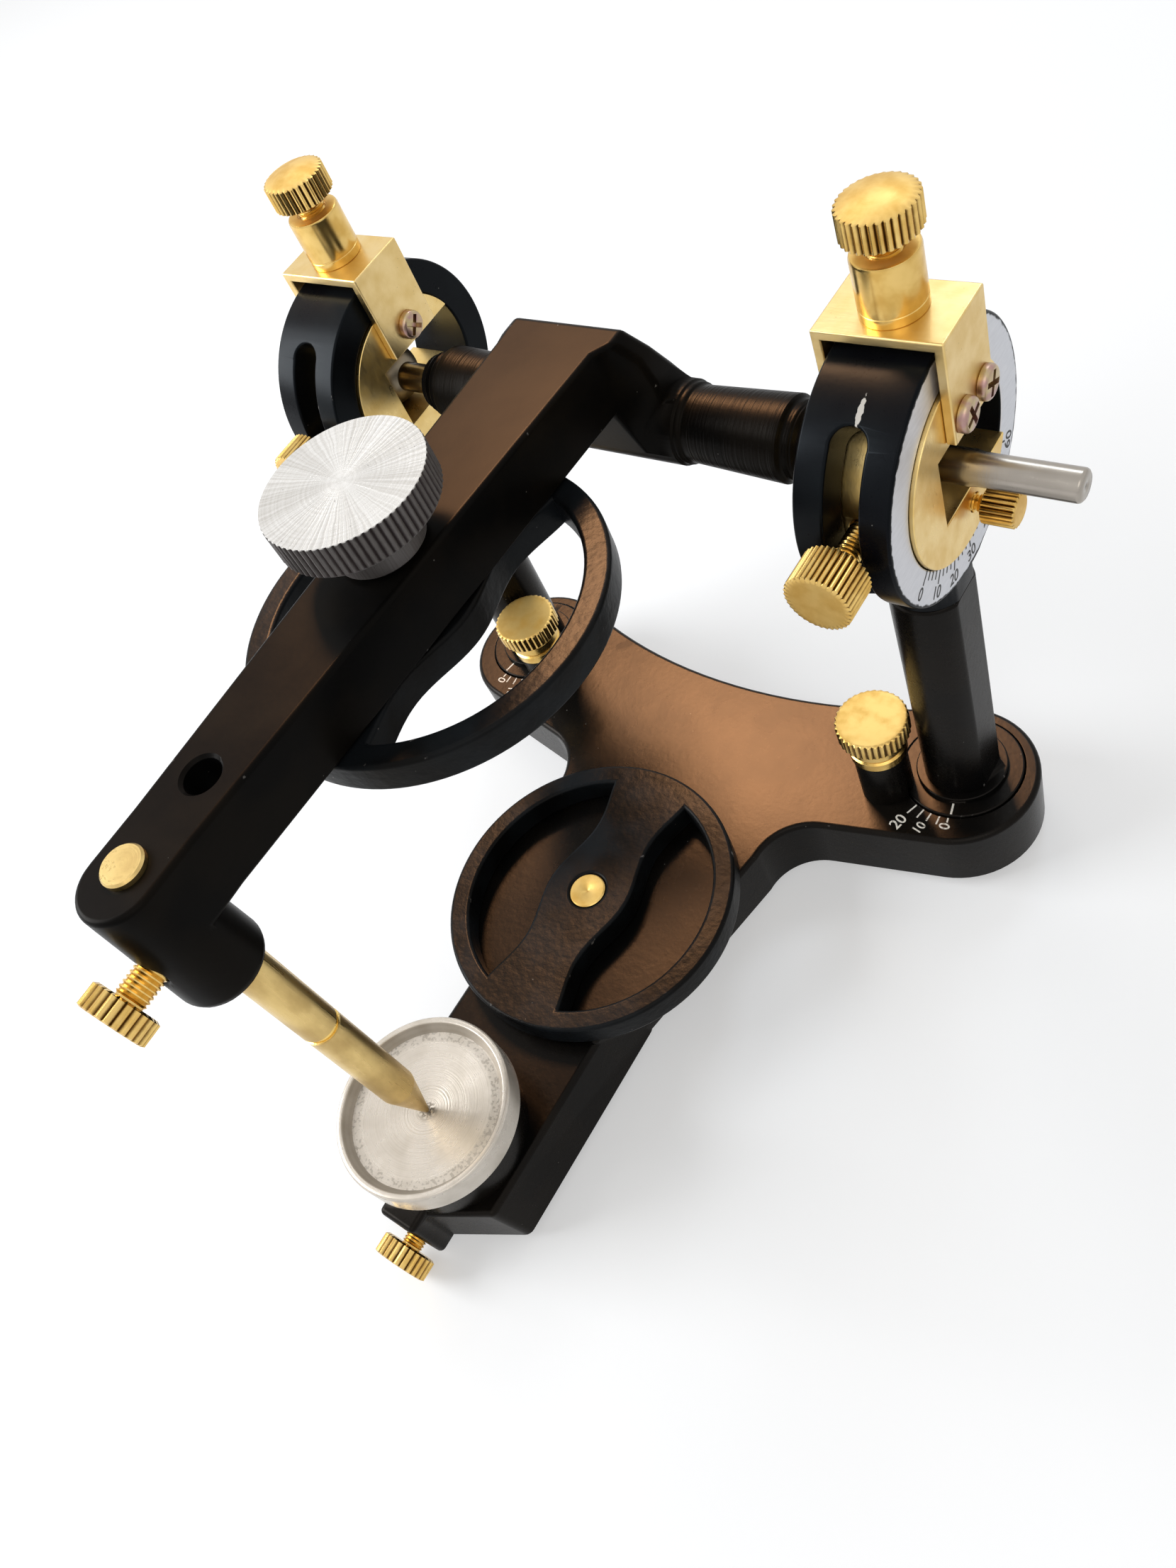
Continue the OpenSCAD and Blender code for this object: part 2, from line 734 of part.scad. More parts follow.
// Places of the yoke screws on one guide: [side of the drum, y, z]
yoke_screw_places = [
    [1, yoke_screw_y - yoke_screw_gap / 2, yoke_screw_z],
    [1, yoke_screw_y + yoke_screw_gap / 2, yoke_screw_z],
    [-1, yoke_screw_y, yoke_screw_z]
];

// Turns +Z outward along X on one side of the drum, at a screw's place
module at_yoke_screw(place) {
    translate([place[0] * yoke_half, place[1], place[2]])
        rotate([0, place[0] * 90, 0])
            children();
}

// Brass drum with the ball's track, open to the rear
module guide_drum(side) {
    color([0.80, 0.66, 0.34])
    at_condyle(side)
        difference() {
            rotate([0, 90, 0])
                translate([0, 0, -drum_w / 2])
                    cylinder(r = drum_r, h = drum_w);
            translate([-drum_w, -track_front, -track_h / 2])
                cube([2 * drum_w, track_front + drum_r + past, track_h]);
            rotate([90, 0, 0])
                cylinder(r = centric_r + run_fit, h = drum_r + past);
            for (place = yoke_screw_places)
                at_yoke_screw(place)
                    translate([0, 0, -yoke_t - yoke_screw_l])
                        cylinder(r = yoke_screw_r + press_fit, h = yoke_screw_l + yoke_t);
            translate([drum_w / 2 - thumb_depth - tip_gap, thumb_y, -thumb_z])
                rotate([0, 90, 0])
                    cylinder(r = thumb_r + run_fit, h = thumb_depth + tip_gap + past);
        }
}

module guide_drum_left() { guide_drum(-1); }
module guide_drum_right() { guide_drum(1); }

// Bent strip over the ring, with its legs on the drum's faces
module yoke(side) {
    strip = yoke_front + yoke_rear;
    color([0.86, 0.76, 0.48])
    at_condyle(side)
        difference() {
            translate([-yoke_half, -yoke_front, yoke_foot])
                cube([2 * yoke_half, strip, bush_z - yoke_foot]);
            translate([-drum_w / 2, -yoke_front - past, yoke_foot - past])
                cube([drum_w, strip + 2 * past, bridge_z - yoke_foot + past]);
            translate([0, bush_y, bridge_z - past])
                cylinder(r = bush_spigot_r, h = yoke_t + 2 * past);
            for (place = yoke_screw_places)
                at_yoke_screw(place)
                    translate([0, 0, -yoke_t - past])
                        cylinder(r = yoke_screw_r + run_fit, h = yoke_t + 2 * past);
        }
}

module yoke_left() { yoke(-1); }
module yoke_right() { yoke(1); }

// Threaded bush riveted in the yoke's bridge
module yoke_bush(side) {
    bore = incl_r + run_fit;
    color([0.84, 0.68, 0.28])
    at_condyle(side)
        translate([0, bush_y, 0])
            turned([
                [bore, bridge_z], [bush_spigot_r - press_fit, bridge_z],
                [bush_spigot_r - press_fit, bush_z], [bush_r, bush_z],
                [bush_r, bush_z + bush_h - edge], [bush_r - edge, bush_z + bush_h],
                [bore, bush_z + bush_h]
            ]);
}

module yoke_bush_left() { yoke_bush(-1); }
module yoke_bush_right() { yoke_bush(1); }

// Small round-headed screws that hold the yoke to the drum
module yoke_screws(side) {
    color([0.85, 0.74, 0.55])
    at_condyle(side)
        for (place = yoke_screw_places)
            at_yoke_screw(place)
                translate([0, 0, tip_gap - yoke_t - yoke_screw_l])
                    turned([
                        [0, 0], [yoke_screw_r, 0], [yoke_screw_r, yoke_t + yoke_screw_l - tip_gap],
                        [yoke_screw_head_r, yoke_t + yoke_screw_l - tip_gap],
                        [yoke_screw_head_r, yoke_t + yoke_screw_l - tip_gap + yoke_screw_head_h / 2],
                        [yoke_screw_head_r / 2, yoke_t + yoke_screw_l - tip_gap + yoke_screw_head_h],
                        [0, yoke_t + yoke_screw_l - tip_gap + yoke_screw_head_h]
                    ]);
}

module yoke_screws_left() { yoke_screws(-1); }
module yoke_screws_right() { yoke_screws(1); }

// Top screw that clamps the guide's inclination against the ring's rim
module inclination_lock_screw(side) {
    color([0.83, 0.64, 0.22])
    at_condyle(side)
        translate([0, bush_y, incl_tip_z])
            turned(screw_section(incl_r, incl_head_z - incl_tip_z, incl_head_r, incl_head_h, incl_dome));
}

module inclination_lock_screw_left() { inclination_lock_screw(-1); }
module inclination_lock_screw_right() { inclination_lock_screw(1); }

// Front screw that holds the ball at the front of its track
module centric_lock_screw(side) {
    length = centric_head_y - centric_tip;
    color([0.83, 0.64, 0.22])
    at_condyle(side)
        translate([0, -centric_tip, 0])
            rotate([90, 0, 0])
                turned(screw_section(centric_r, length, centric_head_r, centric_head_h));
}

module centric_lock_screw_left() { centric_lock_screw(-1); }
module centric_lock_screw_right() { centric_lock_screw(1); }

// Small screw in the drum's outer face
module guide_thumb_screw(side) {
    color([0.83, 0.64, 0.22])
    at_condyle(side)
        translate([drum_w / 2 - thumb_depth, thumb_y, -thumb_z])
            rotate([0, 90, 0])
                turned(screw_section(thumb_r, thumb_depth + thumb_gap, thumb_head_r, thumb_head_h));
}

module guide_thumb_screw_left() { guide_thumb_screw(-1); }
module guide_thumb_screw_right() { guide_thumb_screw(1); }

// Point where the line from p touches the cross tube, seen along X; turn picks the side
function tube_touch(p, turn) =
    let (d = p - [condyle_y, condyle_z],
         a = atan2(d[1], d[0]) + turn * acos(tube_r / norm(d)))
    [condyle_y + tube_r * cos(a), condyle_z + tube_r * sin(a)];

// Half width of the tapered bar at a distance behind the plate's centre
function bar_half(y) =
    let (part = (bar_rear_y - y) / (bar_rear_y + taper_y))
    (bar_rear_w + part * (bar_front_w - bar_rear_w)) / 2;

// Block that joins the bar's rear end to the cross tube, flared and with rounded shoulders
module upper_neck() {
    root_y = bar_rear_y - neck_root;
    rear_top = [bar_rear_y, bar_z];
    front_low = [root_y, bar_low];
    root_half = bar_half(root_y);
    shoulder = [neck_half - (neck_half - neck_top) / 4, bar_z - neck_round / 2];
    intersection() {
        rotate([90, 0, 90])
            translate([0, 0, -neck_half])
                linear_extrude(2 * neck_half)
                    polygon([
                        front_low, [root_y, bar_z], rear_top, tube_touch(rear_top, -1),
                        tube_touch(front_low, 1)
                    ]);
        translate([0, condyle_y + tube_r, 0])
            rotate([90, 0, 0])
                linear_extrude(condyle_y)
                    polygon([
                        [-neck_half, condyle_z - tube_r], [neck_half, condyle_z - tube_r],
                        [neck_half, bar_z - neck_round], shoulder, [neck_top, bar_z],
                        [-neck_top, bar_z], [-shoulder[0], shoulder[1]], [-neck_half, bar_z - neck_round]
                    ]);
        translate([0, 0, condyle_z - tube_r])
            linear_extrude(2 * tube_r + bar_rise)
                polygon([
                    [-root_half, root_y], [root_half, root_y], [neck_half, bar_rear_y],
                    [neck_half, condyle_y + tube_r], [-neck_half, condyle_y + tube_r],
                    [-neck_half, bar_rear_y]
                ]);
    }
}

// Cross tube about the shaft, with tapered turned ends
module cross_tube() {
    end = tube_half + tube_end;
    rotate([0, 90, 0])
        turned([
            [0, -end], [tube_end_r, -end], [tube_r, -tube_half],
            [tube_r, tube_half], [tube_end_r, end], [0, end]
        ]);
}

// Black upper casting: tapered bar, front boss, neck and cross tube
module upper_frame() {
    color([0.11, 0.09, 0.08])
    difference() {
        union() {
            translate([0, 0, bar_low])
                linear_extrude(bar_t)
                    polygon([
                        [-bar_rear_w / 2, bar_rear_y], [-bar_front_w / 2, -taper_y],
                        [-bar_front_w / 2, -boss_y], [bar_front_w / 2, -boss_y],
                        [bar_front_w / 2, -taper_y], [bar_rear_w / 2, bar_rear_y]
                    ]);
            translate([0, -boss_y, 0])
                turned([
                    [0, bar_z - boss_h], [boss_r - 2 * edge, bar_z - boss_h],
                    [boss_r, bar_z - boss_h + 2 * edge], [bar_front_w / 2, bar_z], [0, bar_z]
                ]);
            upper_neck();
            translate([0, condyle_y, condyle_z])
                cross_tube();
        }
        translate([-condyle_span, condyle_y, condyle_z])
            rotate([0, 90, 0])
                cylinder(r = shaft_r + press_fit, h = 2 * condyle_span);
        translate([0, -incisal_y, bar_z - boss_h - past])
            cylinder(r = pin_r + run_fit, h = boss_h + 2 * past);
        translate([0, -incisal_y, pin_clamp_z])
            rotate([90, 0, 0])
                cylinder(r = pin_clamp_r + run_fit, h = boss_r + boss_fwd + past);
        translate([0, -bar_hole_y, bar_low - past])
            cylinder(r = bar_hole_r, h = bar_t + 2 * past);
        translate([0, -bar_hole_y, bar_z - edge])
            cylinder(r1 = bar_hole_r, r2 = bar_hole_r + 2 * edge, h = 2 * edge);
        translate([0, upper_plate_y, bar_low - past])
            cylinder(r = knob_shank_r + run_fit, h = bar_t + 2 * past);
    }
}

// Steel shaft through the cross tube and both balls
module condylar_shaft() {
    half = post_x + shaft_out;
    step = half - shaft_free;
    thick = step - shaft_r + shaft_end_r;
    color([0.75, 0.75, 0.77])
    translate([0, condyle_y, condyle_z])
        rotate([0, 90, 0])
            turned([
                [0, -half], [shaft_end_r - edge, -half], [shaft_end_r, edge - half],
                [shaft_end_r, -step], [shaft_r, -thick], [shaft_r, thick], [shaft_end_r, step],
                [shaft_end_r, half - edge], [shaft_end_r - edge, half], [0, half]
            ]);
}

// Steel ball pressed on the shaft
module condylar_ball(side) {
    color([0.78, 0.78, 0.80])
    at_condyle(side)
        rotate([0, 90, 0])
            rotate_extrude()
                intersection() {
                    circle(ball_r);
                    translate([shaft_r + press_fit, -ball_r])
                        square([ball_r, 2 * ball_r]);
                }
}

module condylar_ball_left() { condylar_ball(-1); }
module condylar_ball_right() { condylar_ball(1); }

module upper_mounting_plate() {
    color([0.13, 0.11, 0.11])
    translate([0, upper_plate_y, upper_plate_z])
        mounting_plate(knob_shank_r + run_fit);
}

// Knurled aluminium knob whose shank holds the upper plate
module mounting_knob() {
    knurl_z = knob_z + knob_collar_h;
    top_z = knurl_z + knob_h;
    color([0.74, 0.72, 0.70])
    translate([0, upper_plate_y, 0])
        turned([
            [0, upper_plate_z + tip_gap], [knob_shank_r, upper_plate_z + tip_gap],
            [knob_shank_r, knob_z], [knob_collar_r, knob_z], [knob_collar_r, knurl_z],
            [knob_r - edge, knurl_z], [knob_r, knurl_z + edge], [knob_r, top_z - edge],
            [knob_r - edge, top_z], [0, top_z]
        ]);
}

// Brass pin with a ring groove and a conical tip
module incisal_pin() {
    mark_z = pin_z + pin_mark;
    color([0.72, 0.58, 0.30])
    translate([0, -incisal_y, 0])
        turned([
            [0, pin_z], [pin_tip_r, pin_z], [pin_r, pin_z + pin_cone],
            [pin_r, mark_z - mark_depth], [pin_r - mark_depth, mark_z], [pin_r, mark_z + mark_depth],
            [pin_r, pin_top - edge], [pin_r - edge, pin_top], [0, pin_top]
        ]);
}

module pin_clamp_screw() {
    tip_y = incisal_y + pin_r + tip_gap;
    head_y = boss_y + boss_r + pin_clamp_gap;
    color([0.80, 0.62, 0.22])
    translate([0, -tip_y, pin_clamp_z])
        rotate([90, 0, 0])
            turned(screw_section(pin_clamp_r, head_y - tip_y, pin_clamp_head_r, pin_clamp_head_h));
}

lower_frame();
base_feet();
lower_mounting_plate();
lateral_lock_bushes();
lower_mounting_screw();
lateral_lock_screw_left();
lateral_lock_screw_right();
incisal_table();
table_clamp_screw();
condylar_post_left();
condylar_post_right();
ring_housing_left();
ring_housing_right();
post_retainer_left();
post_retainer_right();
guide_drum_left();
guide_drum_right();
yoke_left();
yoke_right();
yoke_bush_left();
yoke_bush_right();
yoke_screws_left();
yoke_screws_right();
inclination_lock_screw_left();
inclination_lock_screw_right();
centric_lock_screw_left();
centric_lock_screw_right();
guide_thumb_screw_left();
guide_thumb_screw_right();
upper_frame();
condylar_shaft();
condylar_ball_left();
condylar_ball_right();
upper_mounting_plate();
mounting_knob();
incisal_pin();
pin_clamp_screw();
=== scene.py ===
import math

import bmesh
import bpy
from mathutils import Matrix, Vector


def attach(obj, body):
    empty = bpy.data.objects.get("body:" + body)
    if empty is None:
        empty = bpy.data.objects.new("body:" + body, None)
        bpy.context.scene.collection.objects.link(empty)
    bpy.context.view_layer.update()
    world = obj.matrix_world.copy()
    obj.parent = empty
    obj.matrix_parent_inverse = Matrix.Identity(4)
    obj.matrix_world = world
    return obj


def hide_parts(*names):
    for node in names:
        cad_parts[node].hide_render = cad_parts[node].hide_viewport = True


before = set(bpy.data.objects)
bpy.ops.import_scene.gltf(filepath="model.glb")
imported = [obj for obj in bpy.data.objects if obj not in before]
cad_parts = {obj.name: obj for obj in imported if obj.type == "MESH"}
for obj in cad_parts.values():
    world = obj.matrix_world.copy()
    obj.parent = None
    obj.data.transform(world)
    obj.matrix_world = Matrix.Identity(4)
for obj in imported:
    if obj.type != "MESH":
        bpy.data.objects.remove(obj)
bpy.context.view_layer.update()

# Camera: held close above the right front corner and rolled, as a thing on a table is
# photographed. The picture is upright, so the lens is the one for its long side.
MM = 0.001


def at(x, y, z):
    """A point given in millimetres."""
    return Vector((x, y, z)) * MM


AZIMUTH, ELEVATION, ROLL = 58.49, 50.42, -31.07
LOOK_AT, DISTANCE = at(-0.85, 13.8, 42.3), 244.12
LENS = 28.55
azimuth, elevation, roll = (math.radians(angle) for angle in (AZIMUTH, ELEVATION, ROLL))
back = Vector((math.sin(azimuth) * math.cos(elevation),
               -math.cos(azimuth) * math.cos(elevation),
               math.sin(elevation)))
level = Vector((math.cos(azimuth), math.sin(azimuth), 0))
upright = back.cross(level)
across = math.cos(roll) * level + math.sin(roll) * upright
upward = math.cos(roll) * upright - math.sin(roll) * level
eye = LOOK_AT + back * DISTANCE * MM
camera = bpy.data.objects.new("camera", bpy.data.cameras.new("camera"))
camera.data.lens = LENS
camera.data.clip_start = 10 * MM
camera.matrix_world = Matrix.Translation(eye) @ Matrix((across, upward, back)).transposed().to_4x4()
bpy.context.collection.objects.link(camera)
bpy.context.scene.camera = camera


# Base: an iron casting with two lobes, a waist and an arm, filed round its edges and stoved
# in black enamel. The lateral scales on its lobes are stamped and filled with white paint.
class Wire:
    """A socket in a material. Python's operators on it add Math nodes."""

    def __init__(self, tree, socket):
        self.tree, self.socket = tree, socket

    def node(self, kind, settings, sockets, out=0):
        """A node of any kind: its settings first, then its sockets' values or links."""
        node = self.tree.nodes.new(kind)
        for name, value in settings.items():
            setattr(node, name, value)
        for key, value in sockets.items():
            if isinstance(value, Wire):
                self.tree.links.new(value.socket, node.inputs[key])
            else:
                node.inputs[key].default_value = value
        return Wire(self.tree, node.outputs[out])

    def maths(self, operation, *terms):
        return self.node("ShaderNodeMath", {"operation": operation}, dict(enumerate(terms)))

    def vector(self, operation, *terms, out="Vector"):
        """Vector Math on this and the other terms."""
        sockets = dict(enumerate((self, *terms)))
        return self.node("ShaderNodeVectorMath", {"operation": operation}, sockets, out)

    def __add__(self, other):
        return self.maths("ADD", self, other)

    def __sub__(self, other):
        return self.maths("SUBTRACT", self, other)

    def __rsub__(self, other):
        return self.maths("SUBTRACT", other, self)

    def __mul__(self, other):
        return self.maths("MULTIPLY", self, other)

    __radd__, __rmul__ = __add__, __mul__

    def unsigned(self):
        return self.maths("ABSOLUTE", self)

    def step(self, low, high):
        """0 below low and 1 above high, smooth between."""
        return self.node("ShaderNodeMapRange", {"interpolation_type": "SMOOTHSTEP"},
                         {0: self, 1: low, 2: high})

    def mix(self, under, over):
        """The colour under where this is 0 and over where it is 1."""
        return self.node("ShaderNodeMix", {"data_type": "RGBA"}, {0: self, 6: under, 7: over}, 2)

    def noise(self, size, detail=2, stretch=(1, 1, 1)):
        """Cloudy noise with patches of about size millimetres, longer where stretch is above 1."""
        place = self.vector("MULTIPLY", [1 / (size * MM * times) for times in stretch])
        return place.node("ShaderNodeTexNoise", {}, {"Vector": place, "Scale": 1, "Detail": detail})

    def specks(self, spacing, size):
        """Round specks of about size millimetres, one in each cell of that spacing."""
        cells = self.node("ShaderNodeTexVoronoi", {}, {"Vector": self, "Scale": 1 / (spacing * MM)})
        return 1 - cells.step(0.4 * size / spacing, 0.6 * size / spacing)

    def bands(self, pitch, detail=1):
        """Noise that runs along one value only, with steps of about pitch."""
        return self.node("ShaderNodeTexNoise", {"noise_dimensions": "1D"},
                         {"W": self * (1 / pitch), "Scale": 1, "Detail": detail})

    def mark(self, name):
        """A number that the mesh itself carries."""
        return self.node("ShaderNodeAttribute", {"attribute_name": name}, {}, "Fac")

    def along(self, axis):
        """One coordinate in millimetres."""
        return self.node("ShaderNodeSeparateXYZ", {}, {0: self}, axis) * (1 / MM)

    def bump(self, depth):
        """A surface normal that follows this height, from 0 to depth in millimetres."""
        return self.node("ShaderNodeBump", {}, {"Strength": 1, "Distance": depth * MM, "Height": self})


def finish(name, dress):
    """A material: dress takes the Object coordinates and gives the shader's sockets."""
    material = bpy.data.materials.new(name)
    material.use_nodes = True
    tree = material.node_tree
    shader = tree.nodes["Principled BSDF"]
    place = Wire(tree, tree.nodes.new("ShaderNodeTexCoord").outputs["Object"])
    for key, value in dress(place).items():
        if isinstance(value, Wire):
            tree.links.new(value.socket, shader.inputs[key])
        else:
            shader.inputs[key].default_value = value
    return material


def tone(red, green, blue):
    return (red, green, blue, 1)


def enamel(colour, other, gloss, shine, sheen, grain, roughcast, relief=None):
    """Black enamel: flow of the casting, orange peel, dust, and chips along rounded edges.

    Shine is how strongly it mirrors and sheen in what tint. Grain is the size of the peel in
    millimetres and roughcast its height. Relief is a further height that the enamel covers.
    """
    def dress(place):
        flow = place.noise(11, 2)
        peel = place.noise(grain, 3)
        height = peel * roughcast + flow * 0.8
        if relief:
            height = height + relief(place)
        worn = (place.mark("rim") * place.noise(2.6, 5)).step(0.69, 0.75)
        dust = place.specks(3.1, 0.22) * place.noise(14).step(0.50, 0.62)
        paint = flow.step(0.35, 0.65).mix(colour, other)
        dusty = (dust * 0.5).mix(paint, tone(0.40, 0.38, 0.35))
        return {
            "Base Color": worn.mix(dusty, tone(0.20, 0.19, 0.18)),
            "Roughness": gloss + 0.08 * flow + 0.06 * peel + 0.2 * worn,
            "Specular IOR Level": shine,
            "Specular Tint": tone(*sheen),
            "Normal": (height - worn * 0.4).bump(0.06),
        }
    return dress


black_enamel = finish("black_enamel", enamel(
    tone(0.003, 0.003, 0.003), tone(0.006, 0.005, 0.004),
    gloss=0.20, shine=0.10, sheen=(1.0, 0.88, 0.78), grain=1.1, roughcast=0.34))
scale_white = finish("scale_white", lambda place: {
    "Base Color": place.noise(0.5, 4).step(0.34, 0.46).mix(
        tone(0.25, 0.22, 0.18), tone(0.82, 0.79, 0.72)),
    "Roughness": 0.5 + 0.2 * place.noise(0.4),
})
MERGE = 0.002 * MM


def casting(node):
    """A copy of a CAD node's mesh, with its loose triangles merged into whole faces."""
    bm = bmesh.new()
    bm.from_mesh(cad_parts[node].data)
    bmesh.ops.remove_doubles(bm, verts=bm.verts, dist=MERGE)
    bmesh.ops.dissolve_limit(bm, angle_limit=math.radians(0.2), verts=bm.verts, edges=bm.edges)
    bm.faces.layers.float.new("rim")
    return bm


def soften(bm, width, segments, chosen):
    """Rounds the outward edges that chosen picks, and marks the new faces as rim."""
    rim = bm.faces.layers.float["rim"]
    sharp = [edge for edge in bm.edges if edge.is_manifold
             and edge.calc_face_angle_signed() > math.radians(25) and chosen(edge)]
    made = bmesh.ops.bevel(bm, geom=sharp, offset=width * MM, offset_type="OFFSET", affect="EDGES",
                           segments=segments, profile=0.5, material=-1, clamp_overlap=False)
    for face in made["faces"]:
        face[rim] = 1


def within(edge, x, y, radius):
    """Whether an edge lies inside an upright round hole."""
    return all((vert.co.xy / MM - Vector((x, y))).length < radius for vert in edge.verts)


def absorb(whole, part, matrix=None, material=0):
    """Adds a solid to another, at a place and with one of its materials."""
    if matrix:
        bmesh.ops.transform(part, matrix=matrix, verts=part.verts)
        if matrix.determinant() < 0:
            bmesh.ops.reverse_faces(part, faces=part.faces)
    for face in part.faces:
        face.material_index = material
    mesh = bpy.data.meshes.new("part")
    part.to_mesh(mesh)
    part.free()
    whole.from_mesh(mesh)
    bpy.data.meshes.remove(mesh)


def stroke(width, length, height=0.05):
    """A painted line along +Y from the origin, half sunk in the surface that it marks."""
    bm = bmesh.new()
    bmesh.ops.create_cube(bm, size=MM)
    bmesh.ops.translate(bm, vec=(0, 0.5 * MM, 0), verts=bm.verts)
    bmesh.ops.scale(bm, vec=(width, length, height), verts=bm.verts)
    return bm


def figure(text, height):
    """Plain numerals, centred on the origin and facing +Z."""
    curve = bpy.data.curves.new("figure", "FONT")
    curve.body, curve.size = text, 1.4 * height * MM
    curve.align_x, curve.align_y = "CENTER", "CENTER"
    curve.extrude, curve.offset, curve.resolution_u = 0.025 * MM, 0.03 * MM, 6
    label = bpy.data.objects.new("figure", curve)
    mesh = bpy.data.meshes.new_from_object(label)
    bm = bmesh.new()
    bm.from_mesh(mesh)
    bpy.data.objects.remove(label)
    bpy.data.meshes.remove(mesh)
    return bm


def lay(point, upward, normal):
    """The matrix that lays a flat mark at a point: its +Y along upward, its +Z along normal."""
    sideways = upward.cross(normal)
    return Matrix.Translation(point) @ Matrix((sideways, upward, normal)).transposed().to_4x4()


enamelled = bpy.data.collections.new("enamelled_pieces")


def settle(name, bm, body, nodes, slot, *materials):
    """Makes a finished mesh a piece: it rides a body and stands for its nodes, which it hides. An
    enamel slot puts it in the enamelled collection.
    """
    bmesh.ops.dissolve_degenerate(bm, dist=MERGE, edges=bm.edges)
    mesh = bpy.data.meshes.new(name)
    bm.to_mesh(mesh)
    bm.free()
    mesh.polygons.foreach_set("use_smooth", [True] * len(mesh.polygons))
    mesh.set_sharp_from_angle(angle=math.radians(38))
    for material in materials:
        mesh.materials.append(material)
    piece = bpy.data.objects.new(name, mesh)
    bpy.context.collection.objects.link(piece)
    even = piece.modifiers.new("flat_faces_stay_flat", "WEIGHTED_NORMAL")
    even.keep_sharp = True
    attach(piece, body)
    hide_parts(*nodes)
    if slot.endswith("enamel"):
        enamelled.objects.link(piece)


SIDES = (("left", -1), ("right", 1))
UP = Vector((0, 0, 1))
CONDYLE_X, CONDYLE_Y, CONDYLE_Z = 55, 56.5, 99.4
LOCK_X, LOCK_Y = 43, 47.8
INCISAL_Y = -53.7
DECK, UNDERSIDE, HOLE_RIMS = 17, 4, 11
TICK_WIDTH, TICK_REACH = 0.32, 12.1
# Ticks: angle and length. Figures: text, height, x, y and lean. Holes: x, y and radius.
LATERAL_TICKS = ((-112, 2.6), (-103.5, 2.2), (-95.5, 1.9), (-87, 1.9), (-79, 1.0))
LATERAL_FIGURES = (("20", 2.35, 48.8, 40.4, 17), ("10", 1.9, 53.1, 40.6, 14),
                   ("0", 2.1, 57.5, 42.7, -4))
holes = [(0, 0, 11.3), (0, INCISAL_Y, 5.3)]
for name, side in SIDES:
    holes += [(side * CONDYLE_X, CONDYLE_Y, 12.2), (side * LOCK_X, LOCK_Y, 2.4)]


def in_hole(edge):
    return any(within(edge, *hole) for hole in holes)


def level_ray(angle, side):
    """A level direction, its angle counted from the outer side."""
    return Vector((side * math.cos(math.radians(angle)), math.sin(math.radians(angle)), 0))


base = casting("lower_frame")
soften(base, 1.1, 4, lambda edge: not in_hole(edge)
       and max(vert.co.z for vert in edge.verts) > UNDERSIDE * MM)
soften(base, 0.25, 2, lambda edge: in_hole(edge) and edge.verts[0].co.z > HOLE_RIMS * MM)
for name, side in SIDES:
    axis = at(side * CONDYLE_X, CONDYLE_Y, DECK)
    for angle, length in LATERAL_TICKS:
        ray = level_ray(angle, side)
        absorb(base, stroke(TICK_WIDTH, length), lay(axis + TICK_REACH * MM * ray, ray, UP), 1)
    for text, height, x, y, lean in LATERAL_FIGURES:
        tops = level_ray(lean, -side)
        absorb(base, figure(text, height), lay(at(side * x, y, DECK), tops, UP), 1)
settle("base_casting", base, "lower_frame", ["lower_frame"], "black_enamel", black_enamel, scale_white)


# Feet: three rubber discs stuck under the base, their edges pressed a little round.
# Grey rubber, dusty and slightly uneven where it was cut.
END_DEPTH = 1.3


def turn(profile, steps=96, closed=False):
    """A solid turned about +Z from (radius, height) points in millimetres.

    Its vertices carry their radius as reach, and 1 as end_face on the end that looks up.
    """
    bm = bmesh.new()
    chain = [bm.verts.new((radius * MM, 0, height * MM)) for radius, height in profile]
    ends = chain + chain[:1] if closed else chain
    edges = [bm.edges.new(pair) for pair in zip(ends, ends[1:])]
    bmesh.ops.spin(bm, geom=chain + edges, axis=(0, 0, 1), cent=(0, 0, 0), angle=2 * math.pi,
                   steps=steps, use_merge=True)
    bmesh.ops.remove_doubles(bm, verts=bm.verts, dist=0.001 * MM)
    bmesh.ops.recalc_face_normals(bm, faces=bm.faces)
    reach = bm.verts.layers.float.new("reach")
    bm.verts.layers.float.new("valley")
    face = bm.verts.layers.float.new("end_face")
    bm.faces.layers.float.new("rim")
    end = max(height for radius, height in profile) - END_DEPTH
    for vert in bm.verts:
        vert[reach] = vert.co.xy.length / MM
        vert[face] = 1 if vert.normal.z > 0.8 and vert.co.z / MM > end else 0
    return bm


def move(x, y, z):
    return Matrix.Translation(at(x, y, z))


rubber = finish("rubber", lambda place: {
    "Base Color": place.noise(2.2, 4).step(0.3, 0.7).mix(
        tone(0.20, 0.20, 0.20), tone(0.36, 0.35, 0.34)),
    "Roughness": 0.75 + 0.15 * place.noise(0.7),
    "Normal": place.noise(0.5, 3).bump(0.06),
})
feet = bmesh.new()
feet.faces.layers.float.new("rim")
for x, y, radius in ((-CONDYLE_X, CONDYLE_Y, 13.5), (CONDYLE_X, CONDYLE_Y, 13.5), (0, -34, 9)):
    disc = turn([(0, 0.3), (radius - 2.4, 0.3), (radius - 1.9, 0), (radius - 0.7, 0),
                 (radius - 0.2, 0.2), (radius, 0.7), (radius, 2.4), (radius - 0.2, 2.8),
                 (radius - 0.5, 3), (0, 3)])
    absorb(feet, disc, move(x, y, 0))
settle("base_feet", feet, "lower_frame", ["base_feet"], "rubber", rubber)


